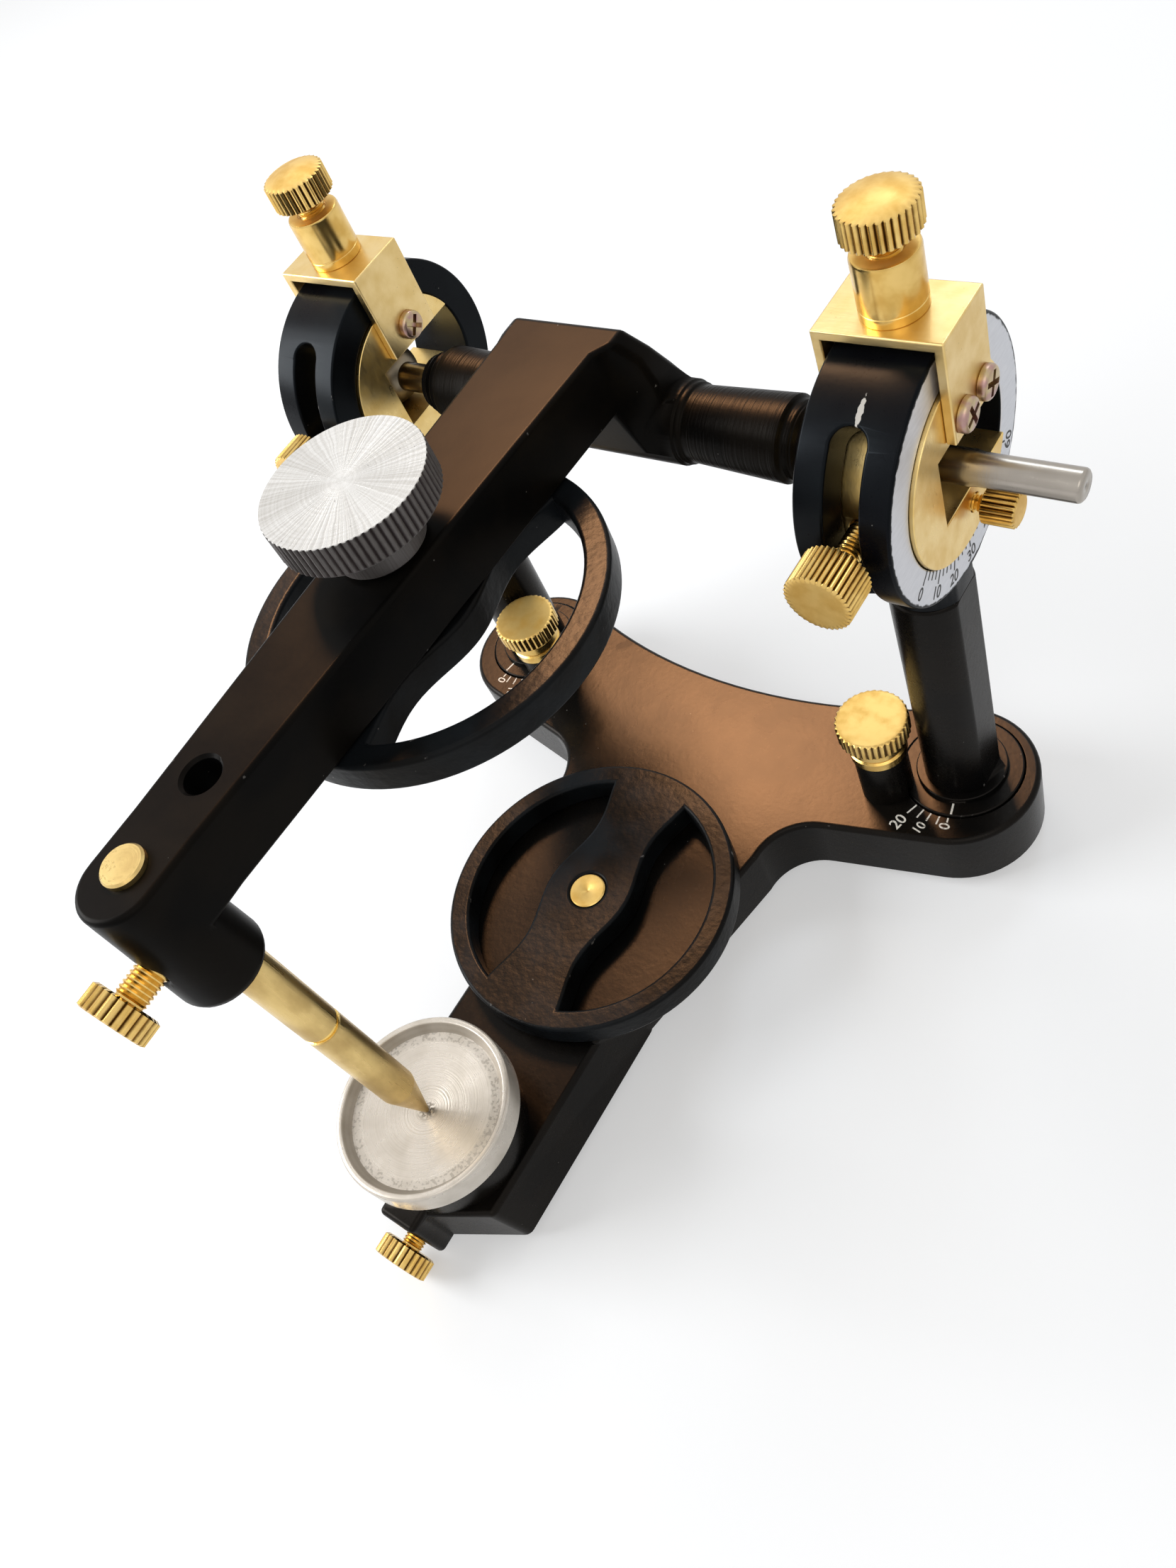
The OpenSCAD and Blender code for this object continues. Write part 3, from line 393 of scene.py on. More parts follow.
# Mounting plates: two equal cast rings with a swelling crossbar, ground flat and enamelled.
# The lower one lies on the base, the upper one hangs under the bar.
plate_enamel = finish("plate_enamel", enamel(
    tone(0.004, 0.004, 0.004), tone(0.009, 0.011, 0.013),
    gloss=0.28, shine=0.07, sheen=(1.0, 0.95, 0.90), grain=1.5, roughcast=1.5))
KNOB_Y = 4.4
for name, body, centre_y in (("lower_mounting_plate", "lower_frame", 0),
                             ("upper_mounting_plate", "upper_member", KNOB_Y)):
    plate = casting(name)
    soften(plate, 0.8, 3, lambda edge: not within(edge, 0, centre_y, 3.6))
    settle(name, plate, body, [name], "plate_enamel", plate_enamel)


# Lower mounting screw: a brass thumb screw put in from below. Its turned end, with the mark
# of the lathe's centre, shows in the middle of the lower plate.
def knurl(bm, low, high, radius, teeth, depth):
    """Cuts straight teeth in the round band between two heights, turned in 4 steps a tooth."""
    valley = bm.verts.layers.float["valley"]
    for vert in bm.verts:
        in_band = low - 0.01 < vert.co.z / MM < high + 0.01
        if in_band and abs(vert.co.xy.length / MM - radius) < 0.01:
            quarter = round(math.atan2(vert.co.y, vert.co.x) / math.tau * 4 * teeth) % 4
            cut = (1, 0.25, 0, 0.25)[quarter]
            vert.co.xy = vert.co.xy * (1 - cut * depth / radius)
            vert[valley] = cut


def thread(radius, low, high, pitch=0.7, depth=0.35):
    """Profile of a threaded stretch, as fine ridges between two heights."""
    count = round((high - low) / pitch)
    ridges = []
    for index in range(count):
        start = low + (high - low) * index / count
        ridges += [(radius, start + 0.1 * pitch), (radius - depth, start + 0.5 * pitch),
                   (radius, start + 0.9 * pitch)]
    return ridges


def brass(light, dark, gloss):
    """Turned brass: rings of the lathe, clouds of tarnish, and grime with painted shade between the
    teeth.
    """
    def dress(place):
        rings = place.mark("reach").bands(0.16, 2)
        cloud = place.noise(3.4, 4).step(0.35, 0.72)
        # Grime and painted shade: the knurl's valleys, with random patches, are darkened to a dark
        # brown.
        dirt_and_shade = (place.mark("valley") + 0.35 * place.noise(0.8, 3)).step(0.35, 1.05)
        end = place.mark("end_face")
        return {
            "Base Color": dirt_and_shade.mix(cloud.mix(light, dark), tone(0.15, 0.08, 0.02)),
            "Metallic": 1,
            "Roughness": gloss + 0.06 * cloud + 0.08 * rings + 0.15 * dirt_and_shade + 0.28 * end,
            "Normal": (rings * 0.7 + place.noise(1.1, 3) * 0.2).bump(0.006),
        }
    return dress


polished_brass = finish("polished_brass", brass(
    tone(0.77, 0.53, 0.18), tone(0.63, 0.39, 0.10), gloss=0.15))
screw = turn([(0, 4.0), (2.2, 4.0), (2.6, 3.6), (8.6, 3.6), (9.5, 4.4), (9.5, 8.6), (8.8, 9.4),
              (3.8, 9.4)] + thread(3.8, 10, 16)
             + [(3.8, 22.75), (3.55, 23), (0.7, 23), (0.25, 22.7), (0, 22.6)], 160)
knurl(screw, 4.4, 8.6, radius=9.5, teeth=40, depth=0.5)
settle("lower_mounting_screw", screw, "lower_mounting_screw", ["lower_mounting_screw"],
       "polished_brass", polished_brass)

# Lateral locks: a brass knurled screw on a black sleeve in front of each post. The sleeve's foot
# reaches over the edge of the post's disc, and the screw pinches it.
sleeves = casting("lateral_lock_bushes")
soften(sleeves, 0.35, 2, lambda edge: edge.verts[0].co.z > (DECK + 2) * MM)
settle("lateral_lock_bushes", sleeves, "lower_frame", ["lateral_lock_bushes"], "black_enamel",
       black_enamel)
for name, side in SIDES:
    lock = turn([(0, 7.7), (1.5, 7.7), (2, 8.2)] + thread(2, 9, 16)
                + [(2, 29.5), (5.2, 29.5), (5.6, 29.9), (5.6, 31.6), (5.15, 31.9), (5.15, 32.5),
                   (5.6, 32.8), (5.6, 34.3), (5.3, 34.6), (5.3, 35.2), (6.4, 35.2), (7, 35.8),
                   (7, 39.2), (6.6, 39.45), (6.2, 39.5), (3, 39.5), (0, 39.5)], 136)
    knurl(lock, 35.8, 39.2, radius=7, teeth=34, depth=0.4)
    bmesh.ops.transform(lock, matrix=move(side * LOCK_X, LOCK_Y, 0), verts=lock.verts)
    piece = f"lateral_lock_screw_{name}"
    settle(piece, lock, piece, [piece], "polished_brass", polished_brass)


# Incisal table: a turned aluminium dish on a stem in the arm's pedestal, free to turn. Its rings
# are the lathe's. It is darker on the rim's inner wall, on the ledge and round the middle, with dark
# specks on the ledge.
def aluminium(light, dark, shade, gloss, relief, soil_and_shade, dirt_and_shade):
    """Turned aluminium: streaks by shade, the lathe's relief, and a dark colour where soil is 1, for
    the table's darker parts and for the painted shade on the knob's sides.
    """
    return {
        "Base Color": soil_and_shade.mix(shade.mix(light, dark), dirt_and_shade),
        "Metallic": 0.45,
        "Roughness": gloss + 0.08 * shade + 0.3 * soil_and_shade,
        "Specular IOR Level": 0.25,
        "Normal": relief.bump(0.02),
    }


def table_finish(place):
    reach = place.mark("reach")
    mottle = place.noise(0.6, 4)
    wall = reach.step(15.0, 15.1) * (1 - reach.step(16.2, 16.3))
    ledge = reach.step(13.3, 13.7) * (1 - reach.step(15.0, 15.1))
    crumbs = reach.step(12.9, 13.6) * (1 - reach.step(15.0, 15.2)) * mottle.step(0.50, 0.60)
    middle = (1 - reach.step(0.8, 2.8)) * mottle.step(0.38, 0.54)
    soil_and_shade = 0.42 * wall + 0.18 * ledge + 0.34 * crumbs + 0.85 * middle
    rings = reach.bands(0.30, 1)
    outer = reach.step(3, 11)
    relief = rings * (1.3 - 0.9 * outer) + 0.3 * place.noise(0.9, 3)
    cloud = place.noise(5, 4).step(0.35, 0.75)
    shade = 0.55 * cloud + 0.45 * rings.step(0.4, 0.7) * (1 - 0.6 * outer)
    return aluminium(tone(0.71, 0.65, 0.575), tone(0.46, 0.41, 0.34), shade, 0.26, relief,
                     soil_and_shade, tone(0.09, 0.07, 0.045))


incisal_table_finish = finish("turned_aluminium_table", table_finish)
DISH_R, DISH_Z, DISH_DEPTH, DISH_RINGS = 13.7, 29.2, 1.1, 12
dish = [(DISH_R - DISH_R * ring / DISH_RINGS, DISH_Z - DISH_DEPTH * ring / DISH_RINGS)
        for ring in range(DISH_RINGS + 1)]
table = turn([(0, 3.6), (4.5, 3.6), (5, 4.1), (5, 25.1), (17.0, 25.1), (17.4, 25.3), (17.6, 25.7),
              (17.6, 30.7), (17.4, 31.05), (17.1, 31.2), (16.5, 31.2), (16.28, 31.1),
              (15.15, 29.25), (15.05, DISH_Z)] + dish, 128)
bmesh.ops.transform(table, matrix=move(0, INCISAL_Y, 0), verts=table.verts)
settle("incisal_table", table, "incisal_table", ["incisal_table"], "turned_aluminium",
       incisal_table_finish)


# Clamp screws of the table and of the pin: brass thumb screws with coarse teeth, threaded over
# the stretch that shows between the casting and the head.
def thumb_screw(radius, length, head_radius, head_height, teeth, shown, dome=0):
    """A screw along +Z from its tip: threaded over its last shown millimetres, and a toothed head."""
    top = length + head_height
    rim = head_radius - 0.5
    crown = [(rim, top)]
    for part in (0.85, 0.65, 0.4, 0.2):
        crown.append((rim * part, top + dome * (1 - part * part)))
    crown.append((0, top + dome))
    bm = turn([(0, 0), (radius - 0.5, 0), (radius, 0.5)] + thread(radius, length - shown, length - 0.5)
              + [(radius - 0.3, length - 0.3), (radius - 0.3, length), (head_radius - 0.7, length),
                 (head_radius, length + 0.35), (head_radius, top - 0.2)] + crown, 4 * teeth)
    knurl(bm, length + 0.35, top - 0.2, head_radius, teeth, 0.45)
    return bm


FORWARD = Matrix.Rotation(math.radians(90), 4, "X")
for name, screw, place in (
        ("table_clamp_screw", thumb_screw(2.2, 16.5, 5.6, 4.1, 24, 3), move(0, -59, 6.8)),
        ("pin_clamp_screw", thumb_screw(2.5, 9.6, 5.4, 3.9, 24, 5), move(0, -57.5, 105))):
    bmesh.ops.transform(screw, matrix=place @ FORWARD, verts=screw.verts)
    settle(name, screw, name, [name], "polished_brass", polished_brass)

# Posts: black enamelled columns with a flat on the outer side, a collar and a foot disc that turns
# in the lobe. A white line on the disc is read against the lobe's scale.
POST_SPIGOT, DISC_TOP = 12.5, DECK + 0.4
INDEX_ANGLE, INDEX_REACH = -77, 8.9
for name, side in SIDES:
    post = casting(f"condylar_post_{name}")
    soften(post, 0.3, 2, lambda edge: edge.verts[0].co.z > POST_SPIGOT * MM)
    index = level_ray(INDEX_ANGLE, side)
    start = at(side * CONDYLE_X, CONDYLE_Y, DISC_TOP) + INDEX_REACH * MM * index
    absorb(post, stroke(0.4, 2.5), lay(start, index, UP), 1)
    settle(f"condylar_post_{name}", post, f"post_{name}", [f"condylar_post_{name}"], "black_enamel",
           black_enamel, scale_white)


# Ring housings: black rings on a short neck, slotted round the front. The outer face is left bare
# and bright, and carries the inclination scale in black, read under the guide.
CONDYLE = at(CONDYLE_X, CONDYLE_Y, CONDYLE_Z)
SCRAPE = at(55.6, 45.6, 117.7)
ring_coat = enamel(
    tone(0.003, 0.003, 0.004), tone(0.005, 0.006, 0.007),
    gloss=0.22, shine=0.08, sheen=(0.75, 0.88, 1.0), grain=0.6, roughcast=0.12)


def distance(place, centre, stretch):
    """Distance from a point in millimetres, with each axis stretched."""
    arm = place.vector("SUBTRACT", centre).vector("MULTIPLY", stretch)
    return arm.vector("LENGTH", out="Value") * (1 / MM)


def housing_finish(place):
    coat = ring_coat(place)
    ragged = distance(place, CONDYLE, (0, 1, 1)) + 0.9 * place.noise(1.3, 4)
    bare = place.along(0).unsigned().step(62.38, 62.46) * (1 - ragged.step(20.9, 21.2))
    brushed = place.noise(0.5, 3, (1, 5, 1))
    scrape = distance(place, SCRAPE, (3.2, 0.62, 0.62))
    chipped = 1 - (scrape + 1.5 * place.noise(0.7, 4)).step(2.05, 2.2)
    metal = brushed.mix(tone(0.62, 0.60, 0.61), tone(0.78, 0.76, 0.77))
    return {
        "Base Color": bare.mix(chipped.mix(coat["Base Color"], tone(0.62, 0.60, 0.56)), metal),
        "Metallic": 0.85 * bare,
        "Roughness": coat["Roughness"] + bare * (0.12 + 0.1 * brushed),
        "Specular IOR Level": coat["Specular IOR Level"],
        "Specular Tint": coat["Specular Tint"],
        "Normal": coat["Normal"],
    }


ring_enamel = finish("ring_enamel", housing_finish)
dial_ink = finish("dial_ink", lambda place: {
    "Base Color": place.noise(0.4, 3).mix(tone(0.012, 0.012, 0.012), tone(0.05, 0.05, 0.05)),
    "Roughness": 0.55,
})
RING_FACE, RING_NECK = 7.55, 78.5
DIAL_TICKS, DIAL_START, DIAL_STEP = 25, -144, 4.7
DIAL_REACH, FIGURE_REACH, FIGURE_EVERY = 15.4, 19.1, 4
for name, side in SIDES:
    ring = casting(f"ring_housing_{name}")
    soften(ring, 0.45, 3, lambda edge: all(vert.co.z > RING_NECK * MM for vert in edge.verts))
    centre = at(side * (CONDYLE_X + RING_FACE), CONDYLE_Y, CONDYLE_Z)
    outward = Vector((side, 0, 0))
    for tick in range(DIAL_TICKS):
        angle = math.radians(DIAL_START + DIAL_STEP * tick)
        ray = Vector((0, math.cos(angle), math.sin(angle)))
        numbered = tick % FIGURE_EVERY == 0
        mark = stroke(TICK_WIDTH, 2.3 if numbered else 1.4)
        absorb(ring, mark, lay(centre + DIAL_REACH * MM * ray, ray, outward), 1)
        if numbered:
            degrees = figure(str(10 * tick // FIGURE_EVERY), 2.1)
            absorb(ring, degrees, lay(centre + FIGURE_REACH * MM * ray, -ray, outward), 1)
    settle(f"ring_housing_{name}", ring, f"post_{name}", [f"ring_housing_{name}"], "black_enamel",
           ring_enamel, dial_ink)


# Post retainers: flanged steel screws from under each lobe, out of sight when it stands. A slot in
# the flange takes a screwdriver.
def slice_at(bm, point, normal):
    """Splits a mesh's faces along a plane, and gives what lies on the cut."""
    whole = bm.verts[:] + bm.edges[:] + bm.faces[:]
    made = bmesh.ops.bisect_plane(bm, geom=whole, dist=1e-7, plane_co=point, plane_no=normal)
    return made["geom_cut"]


def recess(bm, half_width, reach, depth, cross):
    """Sinks a screwdriver's slot, or a cross of two, in the face that looks along +Z."""
    for across_axis in (Vector((1, 0, 0)), Vector((0, 1, 0))):
        for cut in (-reach, -half_width, half_width, reach):
            slice_at(bm, across_axis * cut * MM, across_axis)
    sunk = []
    for face in bm.faces:
        spot = face.calc_center_median() / MM
        in_slot = abs(spot.x) < half_width and abs(spot.y) < reach
        in_cross = cross and abs(spot.y) < half_width and abs(spot.x) < reach
        if face.normal.z > 0.4 and (in_slot or in_cross):
            sunk.append(face)
    bmesh.ops.inset_region(bm, faces=sunk, thickness=0.06 * MM, depth=-depth * MM, use_boundary=True,
                           use_even_offset=True)


plain_steel = finish("plain_steel", lambda place: {
    "Base Color": place.noise(4, 4).mix(tone(0.40, 0.40, 0.41), tone(0.58, 0.58, 0.58)),
    "Metallic": 1,
    "Roughness": 0.34 + 0.15 * place.noise(1.5, 3),
    "Normal": place.mark("reach").bands(0.3).bump(0.02),
})
HALF_TURN = Matrix.Rotation(math.pi, 3, "X")
for name, side in SIDES:
    retainer = turn([(0, 8.6), (2, 8.6), (2.5, 8.1)] + thread(2.5, 1, 7.6)
                    + [(2.5, 0), (8.4, 0), (8.4, -2.4), (7.9, -2.9), (0, -2.9)])
    bmesh.ops.rotate(retainer, matrix=HALF_TURN, verts=retainer.verts)
    recess(retainer, half_width=0.8, reach=6.4, depth=1.2, cross=False)
    bmesh.ops.rotate(retainer, matrix=HALF_TURN, verts=retainer.verts)
    bmesh.ops.transform(retainer, matrix=move(side * CONDYLE_X, CONDYLE_Y, 6.4), verts=retainer.verts)
    settle(f"post_retainer_{name}", retainer, f"post_{name}", [f"post_retainer_{name}"], "plain_steel",
           plain_steel)


# Condylar guides: a brass drum milled with the ball's track turns in each ring. A bent brass strip
# over the ring is screwed to the drum's faces and carries a threaded bush.
def brushed_brass(light, dark, stretch, gloss):
    """Brass finished with emery: fine streaks along one way, pits and a soft bloom."""
    def dress(place):
        streak = place.noise(0.35, 3, stretch)
        bloom = place.noise(4.5, 3).step(0.3, 0.75)
        pits = place.specks(1.1, 0.16) * place.noise(3).step(0.45, 0.6)
        return {
            "Base Color": (0.6 * pits).mix(bloom.mix(light, dark), tone(0.30, 0.20, 0.07)),
            "Metallic": 1,
            "Roughness": gloss + 0.16 * streak + 0.10 * bloom,
            "Normal": (streak - 0.6 * pits).bump(0.016),
        }
    return dress


drum_brass = finish("drum_brass", brushed_brass(
    tone(0.82, 0.61, 0.26), tone(0.72, 0.49, 0.16), stretch=(1, 1, 6), gloss=0.20))
yoke_brass = finish("yoke_brass", brushed_brass(
    tone(0.78, 0.59, 0.28), tone(0.69, 0.49, 0.19), stretch=(8, 1, 1), gloss=0.22))
zinc_plate = finish("zinc_plate", lambda place: {
    "Base Color": place.noise(1.6, 3).step(0.35, 0.7).mix(
        tone(0.50, 0.40, 0.22), tone(0.42, 0.26, 0.24)),
    "Metallic": 1,
    "Roughness": 0.25 + 0.15 * place.noise(0.8),
    "Normal": place.noise(0.6, 2).bump(0.01),
})
YOKE_FACE, YOKE_MIDDLE = 9.8, 2.8
# Yoke screws: outer or inner leg, y, z and the turn of the cross.
SCREW_PLACES = ((1, -0.45, 10.4, 20), (1, 6.05, 10.4, 65), (-1, YOKE_MIDDLE, 10.4, 40))


def guide_place(side):
    """The place of a side's guide. Its sizes are the right one's, mirrored on the left."""
    centre = at(side * CONDYLE_X, CONDYLE_Y, CONDYLE_Z)
    return Matrix.Translation(centre) @ Matrix.Diagonal((side, 1, 1, 1))


for name, side in SIDES:
    guide = f"guide_{name}"
    here = guide_place(side)
    drum = casting(f"guide_drum_{name}")
    soften(drum, 0.2, 2, lambda edge: True)
    settle(f"guide_drum_{name}", drum, guide, [f"guide_drum_{name}"], "brushed_brass", drum_brass)
    yoke = casting(f"yoke_{name}")
    soften(yoke, 0.3, 3, lambda edge: True)
    settle(f"yoke_{name}", yoke, guide, [f"yoke_{name}"], "brushed_brass", yoke_brass)
    bush = turn([(2.55, 22.7), (3.58, 22.7), (3.58, 24.3), (4.7, 24.3), (4.8, 24.4), (4.8, 25.7),
                 (4.68, 25.8), (4.68, 25.95), (4.8, 26.05), (4.8, 33.0), (4.65, 33.4), (4.3, 33.6),
                 (2.9, 33.6), (2.55, 33.25)], closed=True)
    bmesh.ops.transform(bush, matrix=here @ move(0, YOKE_MIDDLE, 0), verts=bush.verts)
    bmesh.ops.recalc_face_normals(bush, faces=bush.faces)
    settle(f"yoke_bush_{name}", bush, guide, [f"yoke_bush_{name}"], "polished_brass", polished_brass)
    screws = bmesh.new()
    screws.faces.layers.float.new("rim")
    for outer, y, z, twist in SCREW_PLACES:
        screw = turn([(0, -7.3), (1.2, -7.3)] + thread(1.2, -7, -2, pitch=0.5)
                     + [(1.2, 0), (2.45, 0), (2.6, 0.15), (2.6, 0.8), (2.5, 1.15), (2.3, 1.36),
                        (2.0, 1.47), (0, 1.5)], 48)
        recess(screw, half_width=0.42, reach=1.9, depth=1.0, cross=True)
        bmesh.ops.rotate(screw, matrix=Matrix.Rotation(math.radians(twist), 3, "Z"), verts=screw.verts)
        facing = Matrix.Rotation(math.radians(90 * outer), 4, "Y")
        absorb(screws, screw, here @ move(outer * YOKE_FACE, y, z) @ facing)
    settle(f"yoke_screws_{name}", screws, guide, [f"yoke_screws_{name}"], "zinc_screws", zinc_plate)

# Guide screws: the top one clamps the inclination, the front one holds the ball at the front of
# its track, and a small one in the drum's face clamps the guide. All are turned brass.
SIDEWAYS = Matrix.Rotation(math.radians(90), 4, "Y")
# Sizes as thumb_screw takes them, and the place in the guide.
GUIDE_SCREWS = (
    ("inclination_lock_screw", (2.5, 14.3, 5.6, 4.6, 32, 3.4, 1.0), move(0, YOKE_MIDDLE, 21.5)),
    ("centric_lock_screw", (2, 16.6, 5.4, 6.6, 36, 9), move(0, -6.4, 0) @ FORWARD),
    ("guide_thumb_screw", (1.5, 6.5, 2.9, 5.5, 20, 2), move(3.2, 2.7, -9.9) @ SIDEWAYS),
)
for name, side in SIDES:
    for kind, sizes, place in GUIDE_SCREWS:
        screw = thumb_screw(*sizes)
        bmesh.ops.transform(screw, matrix=guide_place(side) @ place, verts=screw.verts)
        bmesh.ops.recalc_face_normals(screw, faces=screw.faces)
        piece = f"{kind}_{name}"
        settle(piece, screw, piece, [piece], "polished_brass", polished_brass)


# Upper member: a black casting of tapered bar, front boss, neck and cross tube. The tube was turned
# at its ends before it was enamelled, so its ridges show. The neck's left shoulder is filed flush
# with the bar.
def lathe_marks(place):
    """Uneven tool marks round the tube."""
    along = place.along(0)
    away = along.unsigned()
    turned = away.step(18.5, 19.5) * (1 - away.step(35.5, 36))
    return 1.6 * (along + 0.35 * place.noise(6, 2)).bands(0.55, 2) * turned


def ring_groove(bm, away, width, depth):
    """Turns a groove with sloping walls in both ends of the tube, at a distance from the middle."""
    axis = CONDYLE.yz
    for offset, sink in ((-0.5, 0), (-0.22, depth), (0.22, depth), (0.5, 0)):
        cut = (away + offset * width) * MM
        for side in (-1, 1):
            for vert in slice_at(bm, (side * cut, 0, 0), (1, 0, 0)):
                if isinstance(vert, bmesh.types.BMVert):
                    arm = vert.co.yz - axis
                    if arm.length > OUTSIDE_BORE * MM:
                        vert.co.yz = axis + arm * (1 - sink * MM / arm.length)


bar_enamel = finish("bar_enamel", enamel(
    tone(0.003, 0.003, 0.003), tone(0.006, 0.005, 0.004),
    gloss=0.27, shine=0.04, sheen=(1.0, 0.90, 0.80), grain=0.8, roughcast=0.12, relief=lathe_marks))
BAR_REAR_HALF, NEAR_BAR_TOP, TUBE_ENDS, OUTSIDE_BORE = 10, 119, 34, 4.2
# Holes: x, y and radius. Grooves: distance from the middle, width and depth.
BAR_HOLES = ((0, -38.1, 4.2), (0, KNOB_Y, 3.3), (0, INCISAL_Y, 3.8))
TUBE_GROOVES = ((17, 0.5, 0.2), (18.2, 0.5, 0.2), (36.6, 0.9, 0.35), (37.7, 0.9, 0.35),
                (38.8, 0.9, 0.35), (39.9, 0.9, 0.35))
bar = casting("upper_frame")
for vert in bar.verts:
    if vert.co.x < -(BAR_REAR_HALF + 1) * MM and vert.co.z > NEAR_BAR_TOP * MM:
        vert.co.x = -BAR_REAR_HALF * MM
soften(bar, 0.9, 4, lambda edge: not any(within(edge, *hole) for hole in BAR_HOLES)
       and abs(edge.verts[0].co.x) < TUBE_ENDS * MM and edge.calc_length() > 0.1 * MM)
for away, width, depth in TUBE_GROOVES:
    ring_groove(bar, away, width, depth)
settle("upper_frame", bar, "upper_member", ["upper_frame"], "black_enamel", bar_enamel)

# Condylar shaft and balls: a ground steel rod pressed through the tube, with a hard ball on it in
# each guide's track. The rod's chamfered ends stand out at both sides.
polished_steel = finish("polished_steel", lambda place: {
    "Base Color": place.noise(6, 3).mix(tone(0.30, 0.27, 0.235), tone(0.42, 0.385, 0.34)),
    "Metallic": 1,
    "Roughness": 0.22 + 0.06 * place.noise(0.5, 3, (1, 8, 8)),
    "Normal": place.along(0).bands(0.12).bump(0.006),
})
# Painted shade and painted reflection: the balls' steel is made dark and golden, standing in for the
# shade in the tracks and the brass they mirror.
painted_shade_ball_steel = finish("painted_shade_ball_steel", lambda place: {
    "Base Color": place.noise(3, 3).mix(tone(0.20, 0.165, 0.115), tone(0.27, 0.23, 0.17)),
    "Metallic": 1,
    "Roughness": 0.34 + 0.08 * place.noise(1.2, 2),
})
half = [(2.7, 0), (2.7, 65), (2.5, 66.4), (2.5, 80.6), (2.35, 80.95), (2.0, 81.2), (0.6, 81.2),
        (0, 80.9)]
shaft = turn([(radius, -x) for radius, x in reversed(half)] + half[1:], 64)
bmesh.ops.transform(shaft, matrix=move(0, CONDYLE_Y, CONDYLE_Z) @ SIDEWAYS, verts=shaft.verts)
settle("condylar_shaft", shaft, "upper_member", ["condylar_shaft"], "polished_steel", polished_steel)
BALL_R, BALL_ARC, BALL_STEPS = 6, 126, 24
arc = [math.radians(BALL_ARC / 2 - BALL_ARC * index / BALL_STEPS) for index in range(BALL_STEPS + 1)]
for name, side in SIDES:
    ball = turn([(BALL_R * math.cos(angle), BALL_R * math.sin(angle)) for angle in arc], 64,
                closed=True)
    place = move(side * CONDYLE_X, CONDYLE_Y, CONDYLE_Z) @ SIDEWAYS
    bmesh.ops.transform(ball, matrix=place, verts=ball.verts)
    settle(f"condylar_ball_{name}", ball, "upper_member", [f"condylar_ball_{name}"], "polished_steel",
           painted_shade_ball_steel)


# Mounting knob: a turned aluminium knob with a fine straight knurl and a plain collar. Its shank
# goes through the bar and draws the upper plate up.
def knob_finish(place):
    reach = place.mark("reach")
    heading = place.maths("ARCTAN2", place.along(1) - KNOB_Y, place.along(0))
    wander = heading + 0.06 * place.noise(2.5, 3)
    spokes = wander.bands(0.05, 2).step(0.38, 0.62) * reach.step(0.5, 5)
    # Painted highlight: a slow fan of lighter and darker sectors round the top, standing in for the
    # lathe's streaky reflection.
    painted_fan_highlight = heading.bands(0.7, 0).step(0.25, 0.75)
    # Painted shade: everything below the top face, knurl and collar, is darkened almost to black,
    # standing in for shade and for the dark bar they mirror. The pits on the top are real.
    below = 1 - place.along(2).step(132.5, 132.65)
    dirt_and_shade = (place.mark("valley") + 0.5 * place.noise(1.2, 3)).step(0.25, 1.0)
    pitted = place.specks(1.6, 0.25) * place.noise(4).step(0.5, 0.6)
    soil_and_shade = below * (0.84 + 0.14 * dirt_and_shade) + 0.5 * (1 - below) * pitted
    relief = 0.3 * reach.bands(0.34, 1) + 0.8 * spokes + 0.4 * place.noise(0.7, 3)
    shade = 0.45 * spokes + 0.3 * painted_fan_highlight + 0.25 * reach.bands(0.4, 2).step(0.35, 0.65)
    return aluminium(tone(0.88, 0.865, 0.84), tone(0.56, 0.535, 0.50), shade, 0.24, relief,
                     soil_and_shade, tone(0.028, 0.018, 0.018))


knob_aluminium = finish("turned_aluminium_knob", knob_finish)
KNOB_TOP = 132.7
top_rings = [(12.0 - ring, KNOB_TOP) for ring in range(12)]
knob = turn([(0, 101.7), (2.5, 101.7), (3, 102.2), (3, 120.1), (6.8, 120.1), (7.2, 120.5), (7.2, 127),
             (12.6, 127), (13, 127.4), (13, 132.55), (12.85, KNOB_TOP)]
            + top_rings + [(0, KNOB_TOP)], 288)
knurl(knob, 127.4, 132.55, radius=13, teeth=72, depth=0.4)
bmesh.ops.transform(knob, matrix=move(0, KNOB_Y, 0), verts=knob.verts)
settle("mounting_knob", knob, "mounting_knob", ["mounting_knob"], "turned_aluminium", knob_aluminium)


# Incisal pin: a drawn brass rod with a turned ring groove and a cone, worn dull and scratched where
# it slides through the boss and bright in the groove.
def pin_finish(place):
    reach = place.mark("reach")
    scratch = place.noise(0.5, 4, (1, 1, 14)).step(0.52, 0.66)
    stain = place.noise(5, 4, (1, 1, 2)).step(0.35, 0.7)
    height = place.along(2)
    groove = (1 - reach.step(3.08, 3.3)) * height.step(60, 61) * (1 - height.step(80, 81))
    crown = place.mark("end_face")
    drawn = scratch * 0.5 + place.noise(1.3, 3) * 0.6 + height.bands(0.25) * 0.4
    rod = stain.mix(tone(0.71, 0.52, 0.21), tone(0.50, 0.345, 0.13))
    return {
        "Base Color": groove.mix(rod, tone(0.90, 0.62, 0.18)),
        "Metallic": 1,
        "Roughness": 0.30 + 0.12 * stain - 0.08 * scratch - 0.16 * groove,
        "Normal": (drawn * (1 - crown) + 0.5 * reach.bands(0.35) * crown).bump(0.02),
    }


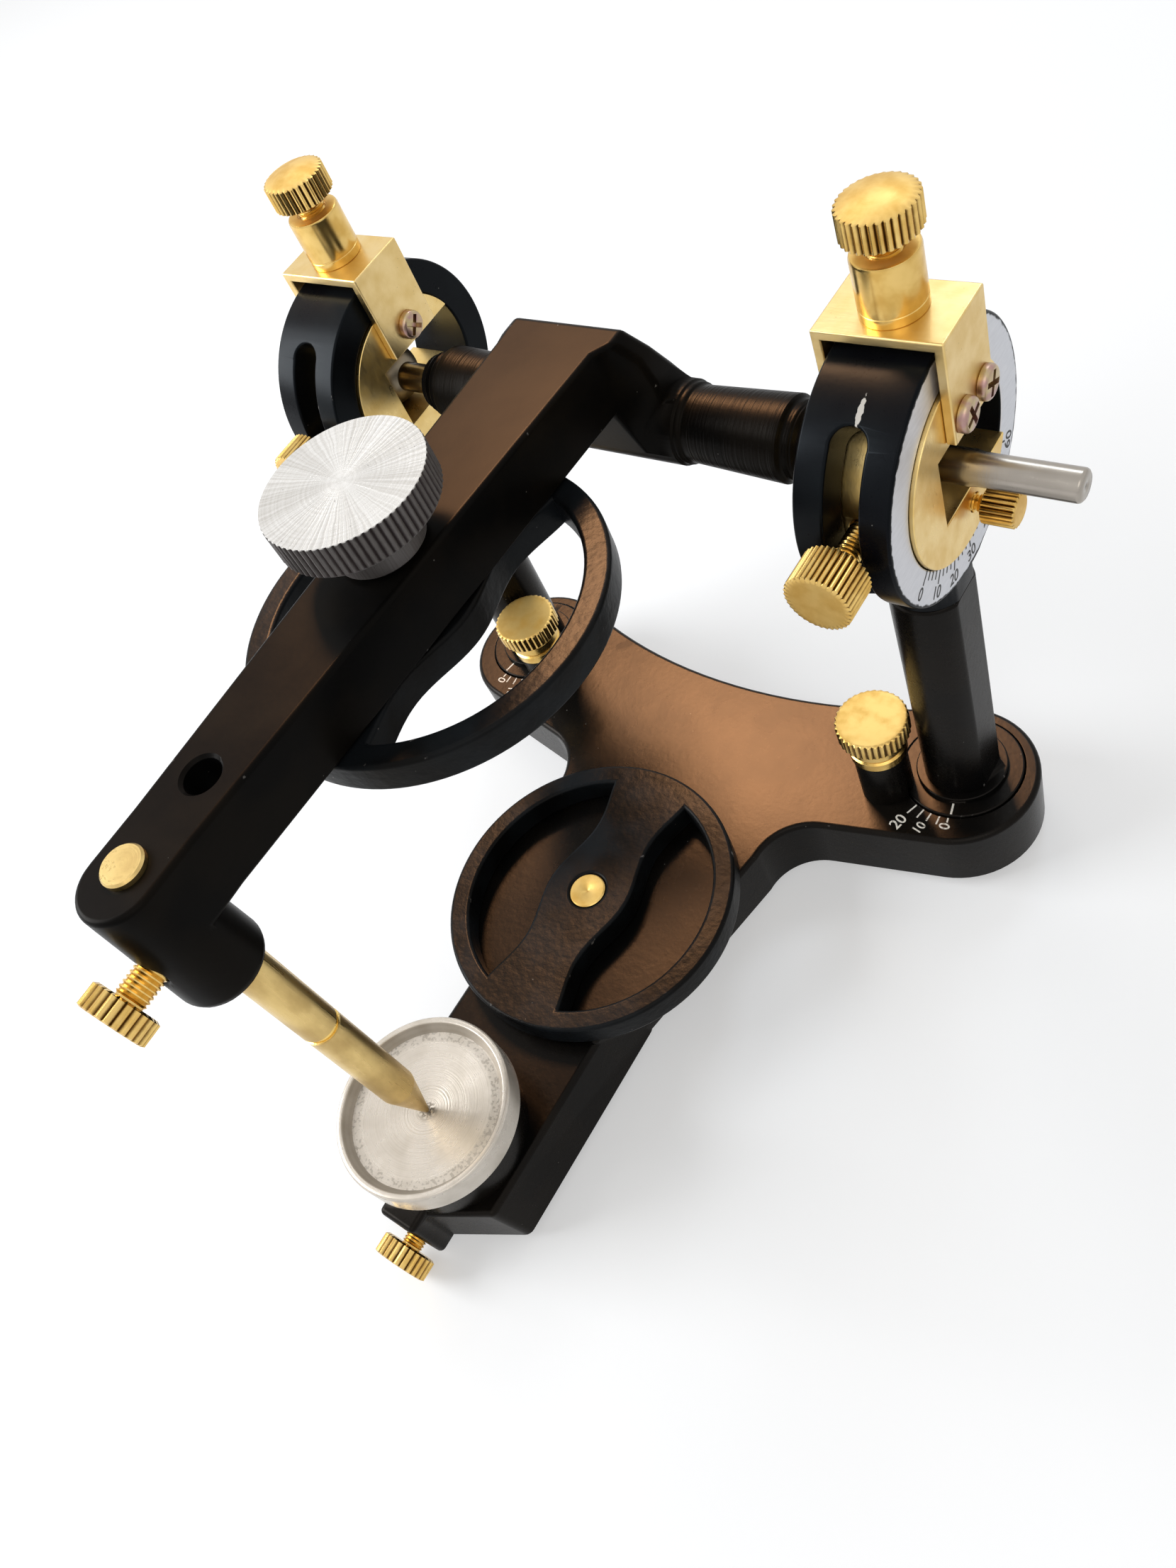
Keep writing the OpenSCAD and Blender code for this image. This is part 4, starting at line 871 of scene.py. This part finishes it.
dull_brass = finish("dull_brass", pin_finish)
pin = turn([(0, 28.4), (0.35, 28.4), (0.5, 28.55), (3.3, 40.6), (3.4, 41.2), (3.4, 68.2),
            (3.05, 68.35), (3.05, 69.35), (3.4, 69.5), (3.4, 120.55), (3.1, 120.9), (1.5, 120.9),
            (0, 120.9)], 72)
bmesh.ops.transform(pin, matrix=move(0, INCISAL_Y, 0), verts=pin.verts)
settle("incisal_pin", pin, "incisal_pin", ["incisal_pin"], "dull_brass", dull_brass)

# Studio: a white paper floor in a pale room, a soft key lamp from the left and two weak fills. Behind
# the left guide a pale panel gives the metals their highlights, and an amber one at the same place
# shows only where the black enamel mirrors it.
FLOOR_REACH = 3
floor_mesh = bpy.data.meshes.new("floor")
paper = bmesh.new()
bmesh.ops.create_grid(paper, x_segments=4, y_segments=4, size=FLOOR_REACH)
paper.to_mesh(floor_mesh)
paper.free()
floor = bpy.data.objects.new("floor", floor_mesh)


def looked_at(place):
    """1 for what the eye, a mirror or a glass sees, and 0 for light that spreads."""
    rays = ("Is Camera Ray", "Is Glossy Ray", "Is Transmission Ray")
    camera_ray, glossy_ray, glass_ray = (place.node("ShaderNodeLightPath", {}, {}, ray) for ray in rays)
    return camera_ray + glossy_ray + glass_ray


floor_mesh.materials.append(finish("floor_paper", lambda place: {
    "Base Color": looked_at(place).mix(tone(0.90, 0.94, 0.97), tone(0.60, 0.61, 0.625)),
    "Emission Color": looked_at(place).mix(tone(0, 0, 0), tone(0.43, 0.43, 0.43)),
    "Emission Strength": 1,
    "Roughness": 0.8,
    "Specular IOR Level": 0.1,
}))
bpy.context.collection.objects.link(floor)


def lamp(name, place, target, width, height, power, colour):
    """A soft lamp that looks at a target."""
    light = bpy.data.lights.new(name, "AREA")
    light.shape, light.size, light.size_y = "RECTANGLE", width, height
    light.energy, light.color = power, colour
    holder = bpy.data.objects.new(name, light)
    turned = (place - target).to_track_quat("Z", "Y").to_matrix().to_4x4()
    holder.matrix_world = Matrix.Translation(place) @ turned
    bpy.context.collection.objects.link(holder)
    return holder


middle, panel_place = at(0, 20, 40), at(-455, 480, 855)
lamp("key_lamp", at(-720, -430, 570), middle, 0.6, 0.6, 9.4, (0.98, 0.99, 1.0))
lamp("cool_lamp", at(-120, 760, 820), middle, 0.30, 0.25, 1.4, (0.80, 0.90, 1.0))
lamp("front_fill", at(600, -600, 1000), middle, 0.8, 0.8, 2.0, (1.0, 0.97, 0.92))
lamp("pale_panel", panel_place, middle, 0.36, 0.22, 0.9, (1.0, 0.98, 0.95))
amber_panel = lamp("amber_panel", panel_place, middle, 0.32, 0.22, 34, (1.0, 0.51, 0.23))
amber_panel.visible_diffuse = False
amber_panel.light_linking.receiver_collection = enamelled
world = bpy.data.worlds.new("pale_room")
bpy.context.scene.world = world
world.use_nodes = True
room = world.node_tree
sky = Wire(room, room.nodes.new("ShaderNodeTexCoord").outputs["Generated"])
window = sky.vector("DOT_PRODUCT", (-0.6, 0.6, 0.53), out="Value")
shade = window.step(-0.7, 0.9).mix(tone(0.30, 0.285, 0.27), tone(1.0, 0.97, 0.93))
seen = looked_at(sky).mix(shade, tone(2.0, 2.0, 2.0))
room.links.new(seen.socket, room.nodes["Background"].inputs["Color"])
room.nodes["Background"].inputs["Strength"].default_value = 0.5
bpy.context.scene.view_settings.view_transform = "Standard"
